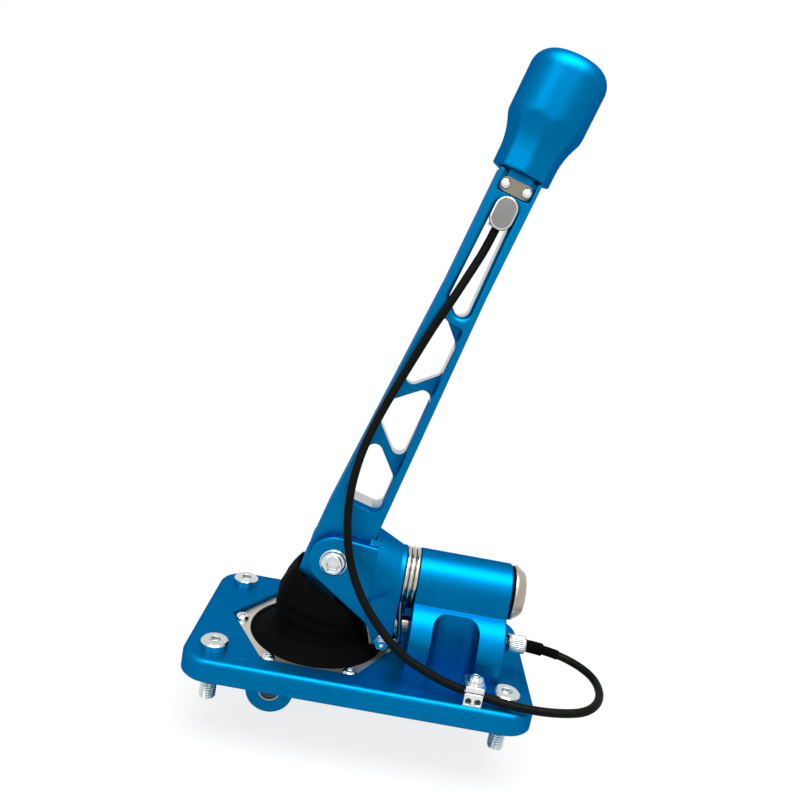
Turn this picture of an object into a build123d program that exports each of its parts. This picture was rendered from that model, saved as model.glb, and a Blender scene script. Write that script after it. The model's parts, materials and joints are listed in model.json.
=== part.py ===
from build123d import *
import os
from math import asin, cos, degrees, pi, radians, sin, sqrt, tan

# A short shifter: a lever on a crossed pair of pivots, on a plate that bolts over a gear tunnel.
# X runs from the boot towards the barrel, Y from front to back, Z up. All sizes are in millimetres,
# and heights are counted from the plate's underside. The part stands on the collars of its mounting
# screws, so every finished piece is lifted by their thickness, and the origin is between their feet.

# Shared details
thread_chamfer = 0.8
head_chamfer = 0.7
dome_share = 0.85
socket_share = 0.6
small_socket = 2.5
small_socket_depth = 1.2
wire_gap = 0.1
running_clearance = 0.04
face_gap = 0.3
overrun = 1.0

# Plate
plate_length = 168.0
plate_width = 98.0
plate_thickness = 11.0
plate_corner_radius = 14.0
plate_edge_radius = 2.5
plate_foot_chamfer = 0.8

# Screws that stand through the plate
bolt_spacing_x = 140.0
bolt_spacing_y = 70.0
mount_shank_diameter = 8.4
mount_thread_diameter = 7.9
mount_head_diameter = 13.0
mount_head_height = 3.8
mount_reach = 15.0
mount_socket = 5.0
retainer_diameter = 12.0
retainer_thickness = 1.6

# Recess in the plate, boot ring and its screws
boot_x = -24.6
ring_screw_circle = 39.4
recess_margin = 5.0
recess_depth = 5.2
recess_corner_radius = 3.0
ring_gap = 0.5
ring_thickness = 1.5
ring_hole_radius = 34.3
plate_hole_radius = 31.0
ring_screw_diameter = 4.0
ring_screw_head = 7.2
ring_screw_dome = 2.2
ring_screw_length = 7.0

# Barrel housing on its pedestal
axis_z = 49.0
barrel_radius = 14.2
housing_start = 20.5
housing_end = 67.0
pedestal_width = 54.0
pedestal_foot = 10.5
flare_height = 18.5
flare_radius = 20.5
pocket_start = 31.0
pocket_end = 54.0
pocket_wall = 2.1
pocket_corner = 7.0
barrel_edge = 0.6
housing_screw_diameter = 5.0
housing_screw_head = 8.5
housing_screw_recess = 5.4
housing_socket = 4.0
housing_socket_depth = 3.0
housing_screw_length = 14.0
housing_screw_inset = 4.6
housing_screw_y = 20.5

# Main shaft and its bushes
shaft_radius = 8.0
bush_wall = 2.0
bush_length = 12.0
shaft_head_depth = 15.0

# Centring spring
spring_wire = 2.4
spring_bend = 3.0
spring_leg_end = 14.5
tongue_width = 10.4
tongue_low = 28.5
tongue_height = 4.5
tongue_reach = 3.4

# Seal and cap at the outer end
seal_thickness = 1.2
seal_radius = 13.2
cap_length = 5.9
cap_sides = 14
cap_radius = 13.9
cap_face_radius = 10.6
cap_rim = 1.3

# Pivot of the lever, in the head
pivot_x = -22.1
pivot_z = 55.0
lever_lean = 15.1
ear_radius = 12.5
head_width = 32.0
slot_half_width = 10.3
pin_radius = 5.0
pin_head_radius = 6.7
pin_head_height = 4.6
pin_flange = 1.2
pin_shoulder = 0.5
pin_stand = 1.5
pin_socket = 6.0
nut_across_flats = 15.0
nut_height = 5.0
lever_bush_wall = 2.0

# Head body between the ears and the spring
head_end = 13.0
head_collar = 2.0
head_body_start = -6.0
head_body_top = 69.5
head_body_foot = 30.0
head_body_corner = 9.0
corner_slack = 0.01
ear_wrap = 30.0
ear_shoulder = (-2.0, 65.5)
ear_edge = 1.0
lobe_edge = [(3.8, 12.6), (2.6, 17.5), (0.5, 22.5), (-2.0, 26.0)]
lobe_corner = 4.0
slot_wall_gap = 0.5
slot_rise = 50.0
slot_length = 40.0

# Stop screws in the lobe
head_swing = 7.0
stop_x = 8.2
stop_z = 18.0
stop_screw_radius = 2.0
stop_nut_across_flats = 7.0
stop_nut_height = 3.2
stop_screw_stand = 1.8
stop_socket = 2.0

# Lockout pin
lock_z = 21.5
lock_pin_radius = 5.0
lock_tip_x = 5.5
lock_pin_length = 39.5
lock_travel = 8.0
lock_slot_half_width = 9.0
lock_slot_height = 12.2
lock_slot_end = 4.3
lock_spring_radius = 3.6
lock_spring_wire = 0.9
lock_spring_turns = 6
lock_spring_slack = 0.7

# Lever, measured along its own line from the pivot
arm_thickness = 20.0
arm_half_foot = 14.1
arm_half_top = 10.2
arm_taper_start = 20.0
arm_taper_end = 145.0
arm_top = 200.3
arm_foot = -14.6
arm_foot_inset = 0.6
flange_width = 3.4
channel_depth = 12.5
channel_foot = 31.4
channel_top = 128.0
channel_corner = 2.5
window_corner = 3.9
slot_edge = 2.4
leg_half_width = 9.0
leg_shoulder = 11.0
leg_thickness = 16.0
eye_reach = 82.0
eye_radius = 12.3
eye_sleeve_radius = 5.6
eye_sleeve_wall = 0.6
eye_bore_radius = 3.05
eye_sleeve_proud = 0.3
eye_bush_inset = 0.6
slot_inset = 12.3

# Cable stop, anchor plate and its pocket
stop_block_inset = 17.6
stop_block_length = 15.6
stop_block_width = 11.2
stop_block_proud = 1.0
stop_block_seat = 0.8
stop_block_edge = 0.6
stop_boss_inset = 0.9
stop_boss_length = 9.0
stop_boss_width = 7.0
stop_boss_depth = 12.0
anchor_inset = 5.6
anchor_spacing = 10.6
anchor_width = 6.8
anchor_length = 15.6
anchor_thickness = 1.6
anchor_recess = 0.2
anchor_head_radius = 2.35
anchor_head_height = 1.5
anchor_screw_radius = 1.25
anchor_pocket_half_width = 8.4
anchor_pocket_depth = 4.8
anchor_pocket_inset = 9.5
anchor_pocket_corner = 1.6
tongue_thickness = 2.8
bracket_half_width = 6.0
wire_radius = 0.75
wire_clearance = 0.3

# Knob on its post
knob_gap = 1.3
knob_height = 56.0
knob_radius = 18.25
knob_edge_radius = 9.0
knob_dome = 1.4
facet_count = 8
facet_apothem = 13.3
facet_height = 6.9
facet_round = 36.0
facet_reach = 4.0
knob_lift = 8.0
post_radius = 5.0
knob_bush_radius = 10.2
knob_bush_inset = 1.0
knob_bush_length = 9.4
knob_chamber_gap = 10.0
retainer_cap_radius = 9.6
retainer_cap_height = 3.0
knob_spring_radius = 7.6
knob_spring_wire = 1.4
knob_spring_turns = 6
knob_spring_slack = 5.2

# Boot
boot_wall = 1.4
boot_foot_radius = 33.0
boot_radius = 23.4
boot_rise = 12.0
boot_waist = (-25.4, 0, 29.0)
boot_waist_tilt = 12.0
boot_waist_half_length = 22.8
boot_waist_half_width = 22.0
boot_mouth = (-22.8, 0, 37.5)
boot_mouth_tilt = 28.0
boot_mouth_length = 39.4
boot_mouth_width = 31.0
boot_mouth_corner = 7.0
strip_thickness = 1.4
strip_half_width = 10.0

# Cable, its adjuster and its clamp
cable_diameter = 4.0
neck_radius = 2.4
thimble_start = 72.6
thimble_length = 9.4
thimble_radius = 4.55
thimble_gap = 0.2
thimble_edge = 0.5
sleeve_radius = 3.3
sleeve_length = 9.0
sleeve_tail_radius = 2.4
sleeve_tail_length = 8.5
bend_share = 0.45
cable_straight = 10.0
clamp_start = 48.3
clamp_length = 9.2
clamp_front = -47.4
clamp_depth = 11.0
clamp_height = 9.6
clamp_slit = 0.7
clamp_slit_height = 6.6
clamp_slit_depth = 2.4
clamp_edge = 1.0
grub_radius = 1.5
grub_spacing = 4.3
grub_height = 2.5
grub_recess = 0.8
grub_length = 1.6
grub_socket = 1.6
clamp_screw_radius = 1.5
clamp_screw_length = 3.6
clamp_head_radius = 3.5
clamp_head_dome = 2.5
clamp_washer_radius = 4.0
clamp_washer_thickness = 0.7

# Worked-out places
plate_top = plate_thickness
recess_floor = plate_top - recess_depth
ring_foot = recess_floor + boot_wall
ring_top = ring_foot + ring_thickness
recess_radius = ring_screw_circle + recess_margin
ring_radius = recess_radius - ring_gap
bush_radius = shaft_radius + bush_wall
half_pedestal = pedestal_width / 2
flare_top_z = plate_top + pedestal_foot + flare_height
clamp_top = plate_top + clamp_height
clamp_middle = clamp_start + clamp_length / 2
lever_bush_radius = pin_radius + lever_bush_wall
lock_pin_end = lock_tip_x + lock_pin_length
lock_spring_solid = (lock_spring_turns + 1) * lock_spring_wire
lock_chamber_end = lock_pin_end + lock_travel + lock_spring_solid + lock_spring_slack
slot_top = arm_top - slot_inset
stop_block_centre = arm_top - stop_block_inset
anchor_centre = arm_top - anchor_inset
anchor_pocket_foot = arm_top - anchor_pocket_inset
knob_foot = arm_top + knob_gap
knob_top = knob_foot + knob_height
facet_rise = knob_foot + facet_height
knob_bush_start = knob_foot + knob_bush_inset
knob_bush_end = knob_bush_start + knob_bush_length
knob_spring_solid = (knob_spring_turns + 1) * knob_spring_wire
post_top = knob_bush_end + knob_lift + knob_spring_solid + knob_spring_slack
knob_chamber_end = post_top + retainer_cap_height + knob_chamber_gap
half_arm = arm_thickness / 2
bracket_front = half_arm - anchor_recess - anchor_thickness
wire_depth = bracket_front - tongue_thickness / 2
stop_boss_foot = stop_block_centre - stop_block_length / 2 + stop_boss_inset
half_head = head_width / 2
lean = radians(lever_lean)
lever_up = (sin(lean), 0, cos(lean))
lever_across = (cos(lean), 0, -sin(lean))
pivot = (pivot_x, 0, pivot_z)

# Side view of the lever: x across it, y along it from the pivot, seen from the front
lever_plane = Plane(origin=pivot, x_dir=lever_across, z_dir=(0, -1, 0))
lever_axis = Axis(pivot, lever_up)
barrel_axis = Axis((0, 0, axis_z), (1, 0, 0))
mount_places = [(x * bolt_spacing_x / 2, y * bolt_spacing_y / 2) for x in (-1, 1) for y in (-1, 1)]
ring_places = [
    (boot_x + ring_screw_circle * cos(radians(60 * k)), ring_screw_circle * sin(radians(60 * k)))
    for k in range(6)
]
housing_screw_places = [
    (x, y)
    for x in (housing_start + housing_screw_inset, housing_end - housing_screw_inset)
    for y in (-housing_screw_y, housing_screw_y)
]

os.makedirs("parts", exist_ok=True)


def keep(part, name):
    """Lift a finished piece onto the collars, label it and write it under its own name."""
    lifted = part.moved(Location((0, 0, retainer_thickness)))
    lifted.label = name
    export_step(lifted, f"parts/{name}.step")
    print(f"{name}: {lifted.volume:.0f} mm3, {len(lifted.solids())} solid(s)")


def lever_point(across, along, y=0.0):
    """A point given across and along the lever, at depth y."""
    x = pivot_x + across * cos(lean) + along * sin(lean)
    z = pivot_z - across * sin(lean) + along * cos(lean)
    return (x, y, z)


def lever_section(along):
    """A plane square to the lever at a distance from the pivot: x across it, y towards the back."""
    return Plane(origin=lever_point(0, along), x_dir=lever_across, z_dir=lever_up)


def tilted_plane(origin, tilt):
    """A plane turned by tilt degrees about Y, so that it falls towards the barrel."""
    turn = radians(tilt)
    return Plane(origin=origin, x_dir=(cos(turn), 0, -sin(turn)), z_dir=(sin(turn), 0, cos(turn)))


def arm_half_width(along):
    """Half the arm's width, which narrows evenly from the pivot block to the top."""
    share = (along - arm_taper_start) / (arm_taper_end - arm_taper_start)
    share = min(max(share, 0), 1)
    return arm_half_foot + share * (arm_half_top - arm_half_foot)


def coil(radius, wire, pitch, turns, start, direction):
    """A coil of round wire whose middle line starts at a point and climbs along a direction."""
    path = Helix(pitch=pitch, height=pitch * turns, radius=radius, center=start, direction=direction)
    with BuildPart() as wound:
        with BuildSketch(Plane(origin=path @ 0, z_dir=path % 0)):
            Circle(wire / 2)
        sweep(path=path)
    return wound.part


# Base plate: rounded corners, softened top edge, hexagonal recess, screw holes
with BuildPart() as base_plate:
    with BuildSketch():
        RectangleRounded(plate_length, plate_width, plate_corner_radius)
    extrude(amount=plate_thickness)
    fillet(base_plate.faces().sort_by(Axis.Z)[-1].edges(), plate_edge_radius)
    chamfer(base_plate.faces().sort_by(Axis.Z)[0].edges(), plate_foot_chamfer)
    with BuildSketch(Plane.XY.offset(plate_top)) as recess:
        with Locations((boot_x, 0)):
            RegularPolygon(recess_radius, 6)
        fillet(recess.vertices(), recess_corner_radius)
    extrude(amount=-recess_depth, mode=Mode.SUBTRACT)
    with BuildSketch(Plane.XY.offset(recess_floor)):
        with Locations((boot_x, 0)):
            Circle(plate_hole_radius)
    extrude(amount=-recess_floor, mode=Mode.SUBTRACT)
    with BuildSketch(Plane.XY.offset(recess_floor)):
        with Locations(*ring_places):
            Circle(ring_screw_diameter / 2)
    extrude(amount=-recess_floor, mode=Mode.SUBTRACT)
    with BuildSketch():
        with Locations(*mount_places):
            Circle(mount_shank_diameter / 2)
    extrude(amount=plate_thickness, mode=Mode.SUBTRACT)
    with BuildSketch():
        with Locations(*housing_screw_places):
            Circle(housing_screw_head / 2)
    extrude(amount=housing_screw_recess, mode=Mode.SUBTRACT)
    with BuildSketch(Plane.XY.offset(housing_screw_recess)):
        with Locations(*housing_screw_places):
            Circle(housing_screw_diameter / 2)
    extrude(amount=plate_thickness - housing_screw_recess, mode=Mode.SUBTRACT)
keep(base_plate.part, "base_plate")

# Mounting screws: low heads with a hexagon socket, threaded ends below the plate
with BuildPart() as mount_screws:
    with BuildSketch(Plane.XY.offset(-mount_reach)):
        with Locations(*mount_places):
            Circle(mount_thread_diameter / 2)
    extrude(amount=mount_reach - retainer_thickness)
    chamfer(mount_screws.faces().group_by(Axis.Z)[0].edges(), thread_chamfer)
    with BuildSketch(Plane.XY.offset(-retainer_thickness)):
        with Locations(*mount_places):
            Circle(mount_shank_diameter / 2)
    extrude(amount=retainer_thickness + plate_thickness)
    with BuildSketch(Plane.XY.offset(plate_top)):
        with Locations(*mount_places):
            Circle(mount_head_diameter / 2)
    extrude(amount=mount_head_height)
    chamfer(mount_screws.faces().group_by(Axis.Z)[-1].edges(), head_chamfer)
    with BuildSketch(Plane.XY.offset(plate_top + mount_head_height)):
        with Locations(*mount_places):
            RegularPolygon(mount_socket / 2, 6, major_radius=False)
    extrude(amount=-mount_head_height * socket_share, mode=Mode.SUBTRACT)
keep(mount_screws.part, "mount_screws")

# Thin collars that hold the mounting screws in the plate
with BuildPart() as screw_retainers:
    with BuildSketch(Plane.XY.offset(-retainer_thickness)):
        with Locations(*mount_places):
            Circle(retainer_diameter / 2)
        with Locations(*mount_places):
            Circle(mount_shank_diameter / 2, mode=Mode.SUBTRACT)
    extrude(amount=retainer_thickness)
keep(screw_retainers.part, "screw_retainers")

# Boot ring: a flat hexagon with a round opening
with BuildPart() as boot_ring:
    with BuildSketch(Plane.XY.offset(ring_foot)) as ring_outline:
        with Locations((boot_x, 0)):
            RegularPolygon(ring_radius, 6)
        fillet(ring_outline.vertices(), recess_corner_radius)
        with Locations((boot_x, 0)):
            Circle(ring_hole_radius, mode=Mode.SUBTRACT)
        with Locations(*ring_places):
            Circle(ring_screw_diameter / 2, mode=Mode.SUBTRACT)
    extrude(amount=ring_thickness)
keep(boot_ring.part, "boot_ring")

# Ring screws: domed heads with a small socket
with BuildPart() as ring_screws:
    with BuildSketch(Plane.XY.offset(ring_top)):
        with Locations(*ring_places):
            Circle(ring_screw_head / 2)
    extrude(amount=ring_screw_dome)
    fillet(ring_screws.faces().group_by(Axis.Z)[-1].edges(), ring_screw_dome * dome_share)
    with BuildSketch(Plane.XY.offset(ring_top)):
        with Locations(*ring_places):
            Circle(ring_screw_diameter / 2)
    extrude(amount=-ring_screw_length)
    with BuildSketch(Plane.XY.offset(ring_top + ring_screw_dome)):
        with Locations(*ring_places):
            RegularPolygon(small_socket / 2, 6, major_radius=False)
    extrude(amount=-small_socket_depth, mode=Mode.SUBTRACT)
keep(ring_screws.part, "ring_screws")

# Boot: a flange under the ring, a skirt, and a bag that rises to the slanted foot of the head
def boot_bag(shrink):
    """The bag as a full body, smaller all round by shrink."""
    with BuildPart() as bag:
        with BuildSketch(Plane.XY.offset(boot_rise)):
            with Locations((boot_x, 0)):
                Circle(boot_radius - shrink)
        with BuildSketch(tilted_plane(boot_waist, boot_waist_tilt)):
            Ellipse(boot_waist_half_length - shrink, boot_waist_half_width - shrink)
        with BuildSketch(tilted_plane(boot_mouth, boot_mouth_tilt)):
            RectangleRounded(
                boot_mouth_length - 2 * shrink, boot_mouth_width - 2 * shrink, boot_mouth_corner - shrink
            )
        loft()
    return bag.part


bag_outside = boot_bag(0)
bag_inside = boot_bag(boot_wall)
with BuildPart() as boot:
    add(bag_outside)
    add(bag_inside, mode=Mode.SUBTRACT)
    with BuildSketch(Plane.XZ):
        with BuildLine():
            Polyline(
                (boot_x + boot_foot_radius, ring_foot),
                (boot_x + boot_radius, boot_rise),
                (boot_x + boot_radius - boot_wall, boot_rise),
                (boot_x + boot_radius - boot_wall, boot_rise - boot_wall),
                (boot_x + boot_foot_radius - 2 * boot_wall, recess_floor),
                (boot_x + boot_foot_radius, recess_floor),
                close=True,
            )
        make_face()
    revolve(axis=Axis((boot_x, 0, 0), (0, 0, 1)))
    with BuildSketch(Plane.XY.offset(recess_floor)) as flange_outline:
        with Locations((boot_x, 0)):
            RegularPolygon(ring_radius, 6)
        fillet(flange_outline.vertices(), recess_corner_radius)
        with Locations((boot_x, 0)):
            Circle(plate_hole_radius, mode=Mode.SUBTRACT)
        with Locations(*ring_places):
            Circle(ring_screw_diameter / 2, mode=Mode.SUBTRACT)
    extrude(amount=boot_wall)
keep(boot.part, "boot")

# Barrel housing: a barrel on a flared pedestal, with an arched pocket in each side
with BuildPart() as barrel_housing:
    with BuildSketch(Plane.YZ.offset(housing_start)):
        with BuildLine():
            foot_left = (-half_pedestal, plate_top)
            flare_left = (-half_pedestal, plate_top + pedestal_foot)
            top_left = (-barrel_radius, flare_top_z)
            Line(foot_left, flare_left)
            RadiusArc(flare_left, top_left, flare_radius)
            Line(top_left, (-barrel_radius, axis_z))
            RadiusArc((-barrel_radius, axis_z), (barrel_radius, axis_z), barrel_radius)
            Line((barrel_radius, axis_z), (barrel_radius, flare_top_z))
            RadiusArc((barrel_radius, flare_top_z), (half_pedestal, plate_top + pedestal_foot), flare_radius)
            Line((half_pedestal, plate_top + pedestal_foot), (half_pedestal, plate_top))
            Line((half_pedestal, plate_top), foot_left)
        make_face()
    extrude(amount=housing_end - housing_start)
    for side in (-1, 1):
        wall_y = barrel_radius + pocket_wall
        reach = half_pedestal + pocket_corner
        with BuildSketch(Plane.XY.offset(plate_top)) as pocket:
            with Locations(((pocket_start + pocket_end) / 2, side * (wall_y + reach) / 2)):
                Rectangle(pocket_end - pocket_start, reach - wall_y)
            inner = pocket.vertices().sort_by(Axis.Y)
            fillet(inner[:2] if side > 0 else inner[-2:], pocket_corner)
        extrude(amount=axis_z - plate_top, mode=Mode.SUBTRACT)
    with BuildSketch(Plane.YZ.offset(housing_start)):
        with Locations((0, axis_z)):
            Circle(bush_radius)
    extrude(amount=housing_end - housing_start, mode=Mode.SUBTRACT)
    chamfer(barrel_housing.edges().filter_by(GeomType.CIRCLE).group_by(Axis.X)[-1], barrel_edge)
    with BuildSketch(Plane.YZ.offset(housing_start)):
        with Locations((0, lock_z)):
            Circle(lock_pin_radius + running_clearance)
    extrude(amount=lock_chamber_end - housing_start, mode=Mode.SUBTRACT)
    with BuildSketch(Plane.YZ.offset(lock_chamber_end)):
        with Locations((0, lock_z)):
            Circle(neck_radius)
    extrude(amount=housing_end - lock_chamber_end, mode=Mode.SUBTRACT)
    with BuildSketch(Plane.XY.offset(plate_top)):
        with Locations(*housing_screw_places):
            Circle(housing_screw_diameter / 2)
    extrude(amount=housing_screw_length - plate_top + housing_screw_recess, mode=Mode.SUBTRACT)
    with BuildSketch(Plane.YZ.offset(housing_start)):
        with Locations((0, tongue_low + tongue_height / 2)):
            Rectangle(tongue_width, tongue_height)
    extrude(amount=-tongue_reach)
keep(barrel_housing.part, "barrel_housing")

# Screws that hold the housing down, put in from below the plate
with BuildPart() as housing_screws:
    with BuildSketch():
        with Locations(*housing_screw_places):
            Circle(housing_screw_head / 2)
    extrude(amount=housing_screw_recess)
    with BuildSketch():
        with Locations(*housing_screw_places):
            RegularPolygon(housing_socket / 2, 6, major_radius=False)
    extrude(amount=housing_socket_depth, mode=Mode.SUBTRACT)
    with BuildSketch(Plane.XY.offset(housing_screw_recess)):
        with Locations(*housing_screw_places):
            Circle(housing_screw_diameter / 2)
    extrude(amount=housing_screw_length)
keep(housing_screws.part, "housing_screws")

# Plain bushes at the two ends of the barrel
for name, bush_start in (("front_bush", housing_start), ("rear_bush", housing_end - bush_length)):
    with BuildPart() as bush:
        with BuildSketch(Plane.YZ.offset(bush_start)):
            with Locations((0, axis_z)):
                Circle(bush_radius)
                Circle(shaft_radius + running_clearance, mode=Mode.SUBTRACT)
        extrude(amount=bush_length)
    keep(bush.part, name)

# Seal ring between the barrel and the cap
with BuildPart() as barrel_seal:
    with BuildSketch(Plane.YZ.offset(housing_end)):
        with Locations((0, axis_z)):
            Circle(seal_radius)
            Circle(bush_radius - bush_wall / 2, mode=Mode.SUBTRACT)
    extrude(amount=seal_thickness)
keep(barrel_seal.part, "barrel_seal")

# Main shaft, fixed in the head and running through the barrel
shaft_start = head_end - shaft_head_depth
cap_start = housing_end + seal_thickness + face_gap
shaft_end = cap_start + cap_length - cap_rim
with BuildPart() as main_shaft:
    with BuildSketch(Plane.YZ.offset(shaft_start)):
        with Locations((0, axis_z)):
            Circle(shaft_radius)
    extrude(amount=shaft_end - shaft_start)
    chamfer(main_shaft.faces().sort_by(Axis.X)[-1].edges(), thread_chamfer)
keep(main_shaft.part, "main_shaft")

# End cap: flats around a narrowing nose
with BuildPart() as end_cap:
    with BuildSketch(Plane.YZ.offset(cap_start)):
        with Locations((0, axis_z)):
            RegularPolygon(cap_radius, cap_sides)
    extrude(amount=cap_rim)
    with BuildSketch(Plane.YZ.offset(cap_start + cap_rim)):
        with Locations((0, axis_z)):
            RegularPolygon(cap_radius, cap_sides)
    with BuildSketch(Plane.YZ.offset(cap_start + cap_length)):
        with Locations((0, axis_z)):
            RegularPolygon(cap_face_radius, cap_sides)
    loft()
    with BuildSketch(Plane.YZ.offset(cap_start)):
        with Locations((0, axis_z)):
            Circle(shaft_radius)
    extrude(amount=shaft_end - cap_start, mode=Mode.SUBTRACT)
keep(end_cap.part, "end_cap")

# Spool on the shaft that carries the coils
spring_inner = barrel_radius - spring_wire
spool_radius = spring_inner - face_gap
with BuildPart() as spring_spool:
    with BuildSketch(Plane.YZ.offset(head_end)):
        with Locations((0, axis_z)):
            Circle(spool_radius)
            Circle(shaft_radius, mode=Mode.SUBTRACT)
    extrude(amount=housing_start - head_end - face_gap)
keep(spring_spool.part, "spring_spool")

# Centring spring: two full coils, and between them one that opens into two straight legs beside
# the tongues of head and housing
coil_radius = barrel_radius - spring_wire / 2
coil_room = housing_start - head_end
coil_middle = head_end + coil_room / 2
coil_pitch = (coil_room - spring_wire - 2 * wire_gap) / 2
leg_y = tongue_width / 2 + spring_wire / 2 + wire_gap / 2
# Where the leg's bend meets the coil: the centres of both arcs and this point are in one line
meeting_angle = asin((leg_y + spring_bend) / (coil_radius + spring_bend))
leg_top = axis_z - (coil_radius + spring_bend) * cos(meeting_angle)
bend_turn = 90 - degrees(meeting_angle)
with BuildPart() as centring_spring:
    for side in (-1, 1):
        with BuildSketch(Plane.XZ):
            with Locations((coil_middle + side * coil_pitch, axis_z + coil_radius)):
                Circle(spring_wire / 2)
        revolve(axis=barrel_axis)
    with BuildLine(Plane.YZ.offset(coil_middle)):
        leg = Line((leg_y, spring_leg_end), (leg_y, leg_top))
        bend = JernArc(leg @ 1, leg % 1, spring_bend, -bend_turn)
        ring = JernArc(bend @ 1, bend % 1, coil_radius, 360 - 2 * degrees(meeting_angle))
        far_bend = JernArc(ring @ 1, ring % 1, spring_bend, -bend_turn)
        Line(far_bend @ 1, (-leg_y, spring_leg_end))
    with BuildSketch(Plane.XY.offset(spring_leg_end)):
        with Locations((coil_middle, leg_y)):
            Circle(spring_wire / 2)
    sweep()
keep(centring_spring.part, "centring_spring")

# Pivot head: two ears, a body that narrows to the barrel's diameter, and a lobe below it
ear_foot = (
    pivot_x - ear_radius * sin(radians(ear_wrap)),
    pivot_z - ear_radius * cos(radians(ear_wrap)),
)
with BuildPart() as pivot_head:
    with BuildSketch(Plane.XZ) as ear_side:
        with Locations((pivot_x, pivot_z)):
            Circle(ear_radius)
        with BuildLine():
            Polyline(
                ear_foot,
                lobe_edge[-1],
                ear_shoulder,
                (pivot_x, pivot_z + ear_radius),
                close=True,
            )
        make_face()
    extrude(amount=half_head, both=True)
    fillet(pivot_head.edges().filter_by(Plane.XZ).group_by(Axis.Z)[-1], ear_edge)
    with BuildSketch(Plane.YZ.offset(head_body_start)):
        with Locations((0, (head_body_top + head_body_foot) / 2)):
            RectangleRounded(head_width, head_body_top - head_body_foot, head_body_corner)
    with BuildSketch(Plane.YZ.offset(head_end - head_collar)):
        with Locations((0, axis_z)):
            RectangleRounded(2 * barrel_radius, 2 * barrel_radius, barrel_radius - corner_slack)
    loft()
    with BuildSketch(Plane.YZ.offset(head_end - head_collar)):
        with Locations((0, axis_z)):
            Circle(barrel_radius)
    extrude(amount=head_collar)
    with BuildSketch(Plane.XZ) as lobe_side:
        with BuildLine():
            Polyline(
                (head_end, axis_z),
                (head_end, lobe_edge[0][1]),
                *lobe_edge,
                (lobe_edge[-1][0], axis_z),
                close=True,
            )
        make_face()
    extrude(amount=barrel_radius, both=True)
    fillet(pivot_head.edges().filter_by(Axis.X).group_by(Axis.Z)[0], lobe_corner)
    # Slot for the lever, with its end wall along the lever's edge
    wall_across = arm_half_foot + slot_wall_gap
    wall_low = lever_point(wall_across, 0)
    wall_high = lever_point(wall_across, slot_rise)
    with BuildSketch(Plane.XZ):
        with BuildLine():
            Polyline(
                (pivot_x - slot_length, 0),
                (pivot_x + wall_across, 0),
                (pivot_x + wall_across, wall_low[2]),
                (wall_high[0], wall_high[2]),
                (pivot_x - slot_length, wall_high[2]),
                close=True,
            )
        make_face()
    extrude(amount=slot_half_width, both=True, mode=Mode.SUBTRACT)
    # Bores for the pivot pin and the shaft
    with BuildSketch(Plane.XZ):
        with Locations((pivot_x, pivot_z)):
            Circle(pin_radius)
    extrude(amount=half_head, both=True, mode=Mode.SUBTRACT)
    with BuildSketch(Plane.YZ.offset(shaft_start)):
        with Locations((0, axis_z)):
            Circle(shaft_radius)
    extrude(amount=shaft_head_depth, mode=Mode.SUBTRACT)
    # Slot for the lockout pin, and the tongue that the spring's legs hold
    with BuildSketch(Plane.YZ.offset(head_end)):
        with Locations((0, lock_z)):
            Rectangle(2 * lock_slot_half_width, lock_slot_height)
    extrude(amount=lock_slot_end - head_end, mode=Mode.SUBTRACT)
    with BuildSketch(Plane.YZ.offset(head_end)):
        with Locations((0, tongue_low + tongue_height / 2)):
            Rectangle(tongue_width, tongue_height)
    extrude(amount=tongue_reach)
    # Threads for the stop screws
    with BuildSketch(Plane.XZ):
        with Locations((stop_x, stop_z)):
            Circle(stop_screw_radius)
    extrude(amount=half_head, both=True, mode=Mode.SUBTRACT)
keep(pivot_head.part, "pivot_head")

# Stop screws: the upper edges of their tips meet the lockout pin when the head swings
stop_edge = stop_z + stop_screw_radius
pin_side = sqrt(lock_pin_radius**2 - (lock_z - stop_edge) ** 2)
stop_tip = pin_side + (axis_z - stop_edge) * sin(radians(head_swing)) + face_gap
stop_outer = barrel_radius + stop_nut_height + stop_screw_stand
with BuildPart() as stop_screws:
    for side in (-1, 1):
        with BuildSketch(Plane.XZ.offset(side * stop_tip)):
            with Locations((stop_x, stop_z)):
                Circle(stop_screw_radius)
        extrude(amount=side * (stop_outer - stop_tip))
        with BuildSketch(Plane.XZ.offset(side * stop_outer)):
            with Locations((stop_x, stop_z)):
                RegularPolygon(stop_socket / 2, 6, major_radius=False)
        extrude(amount=-side * small_socket_depth, mode=Mode.SUBTRACT)
keep(stop_screws.part, "stop_screws")

with BuildPart() as stop_nuts:
    for side in (-1, 1):
        with BuildSketch(Plane.XZ.offset(side * barrel_radius)):
            with Locations((stop_x, stop_z)):
                RegularPolygon(stop_nut_across_flats / 2, 6, major_radius=False)
                Circle(stop_screw_radius, mode=Mode.SUBTRACT)
        extrude(amount=side * stop_nut_height)
keep(stop_nuts.part, "stop_nuts")

# Steel strip on the lobe's left edge, which holds the boot against it
with BuildPart() as boot_retainer:
    with BuildSketch(Plane.XZ):
        with BuildLine():
            Polyline(*lobe_edge, *[(x - strip_thickness, z) for x, z in reversed(lobe_edge)], close=True)
        make_face()
    extrude(amount=strip_half_width, both=True)
keep(boot_retainer.part, "boot_retainer")

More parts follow.
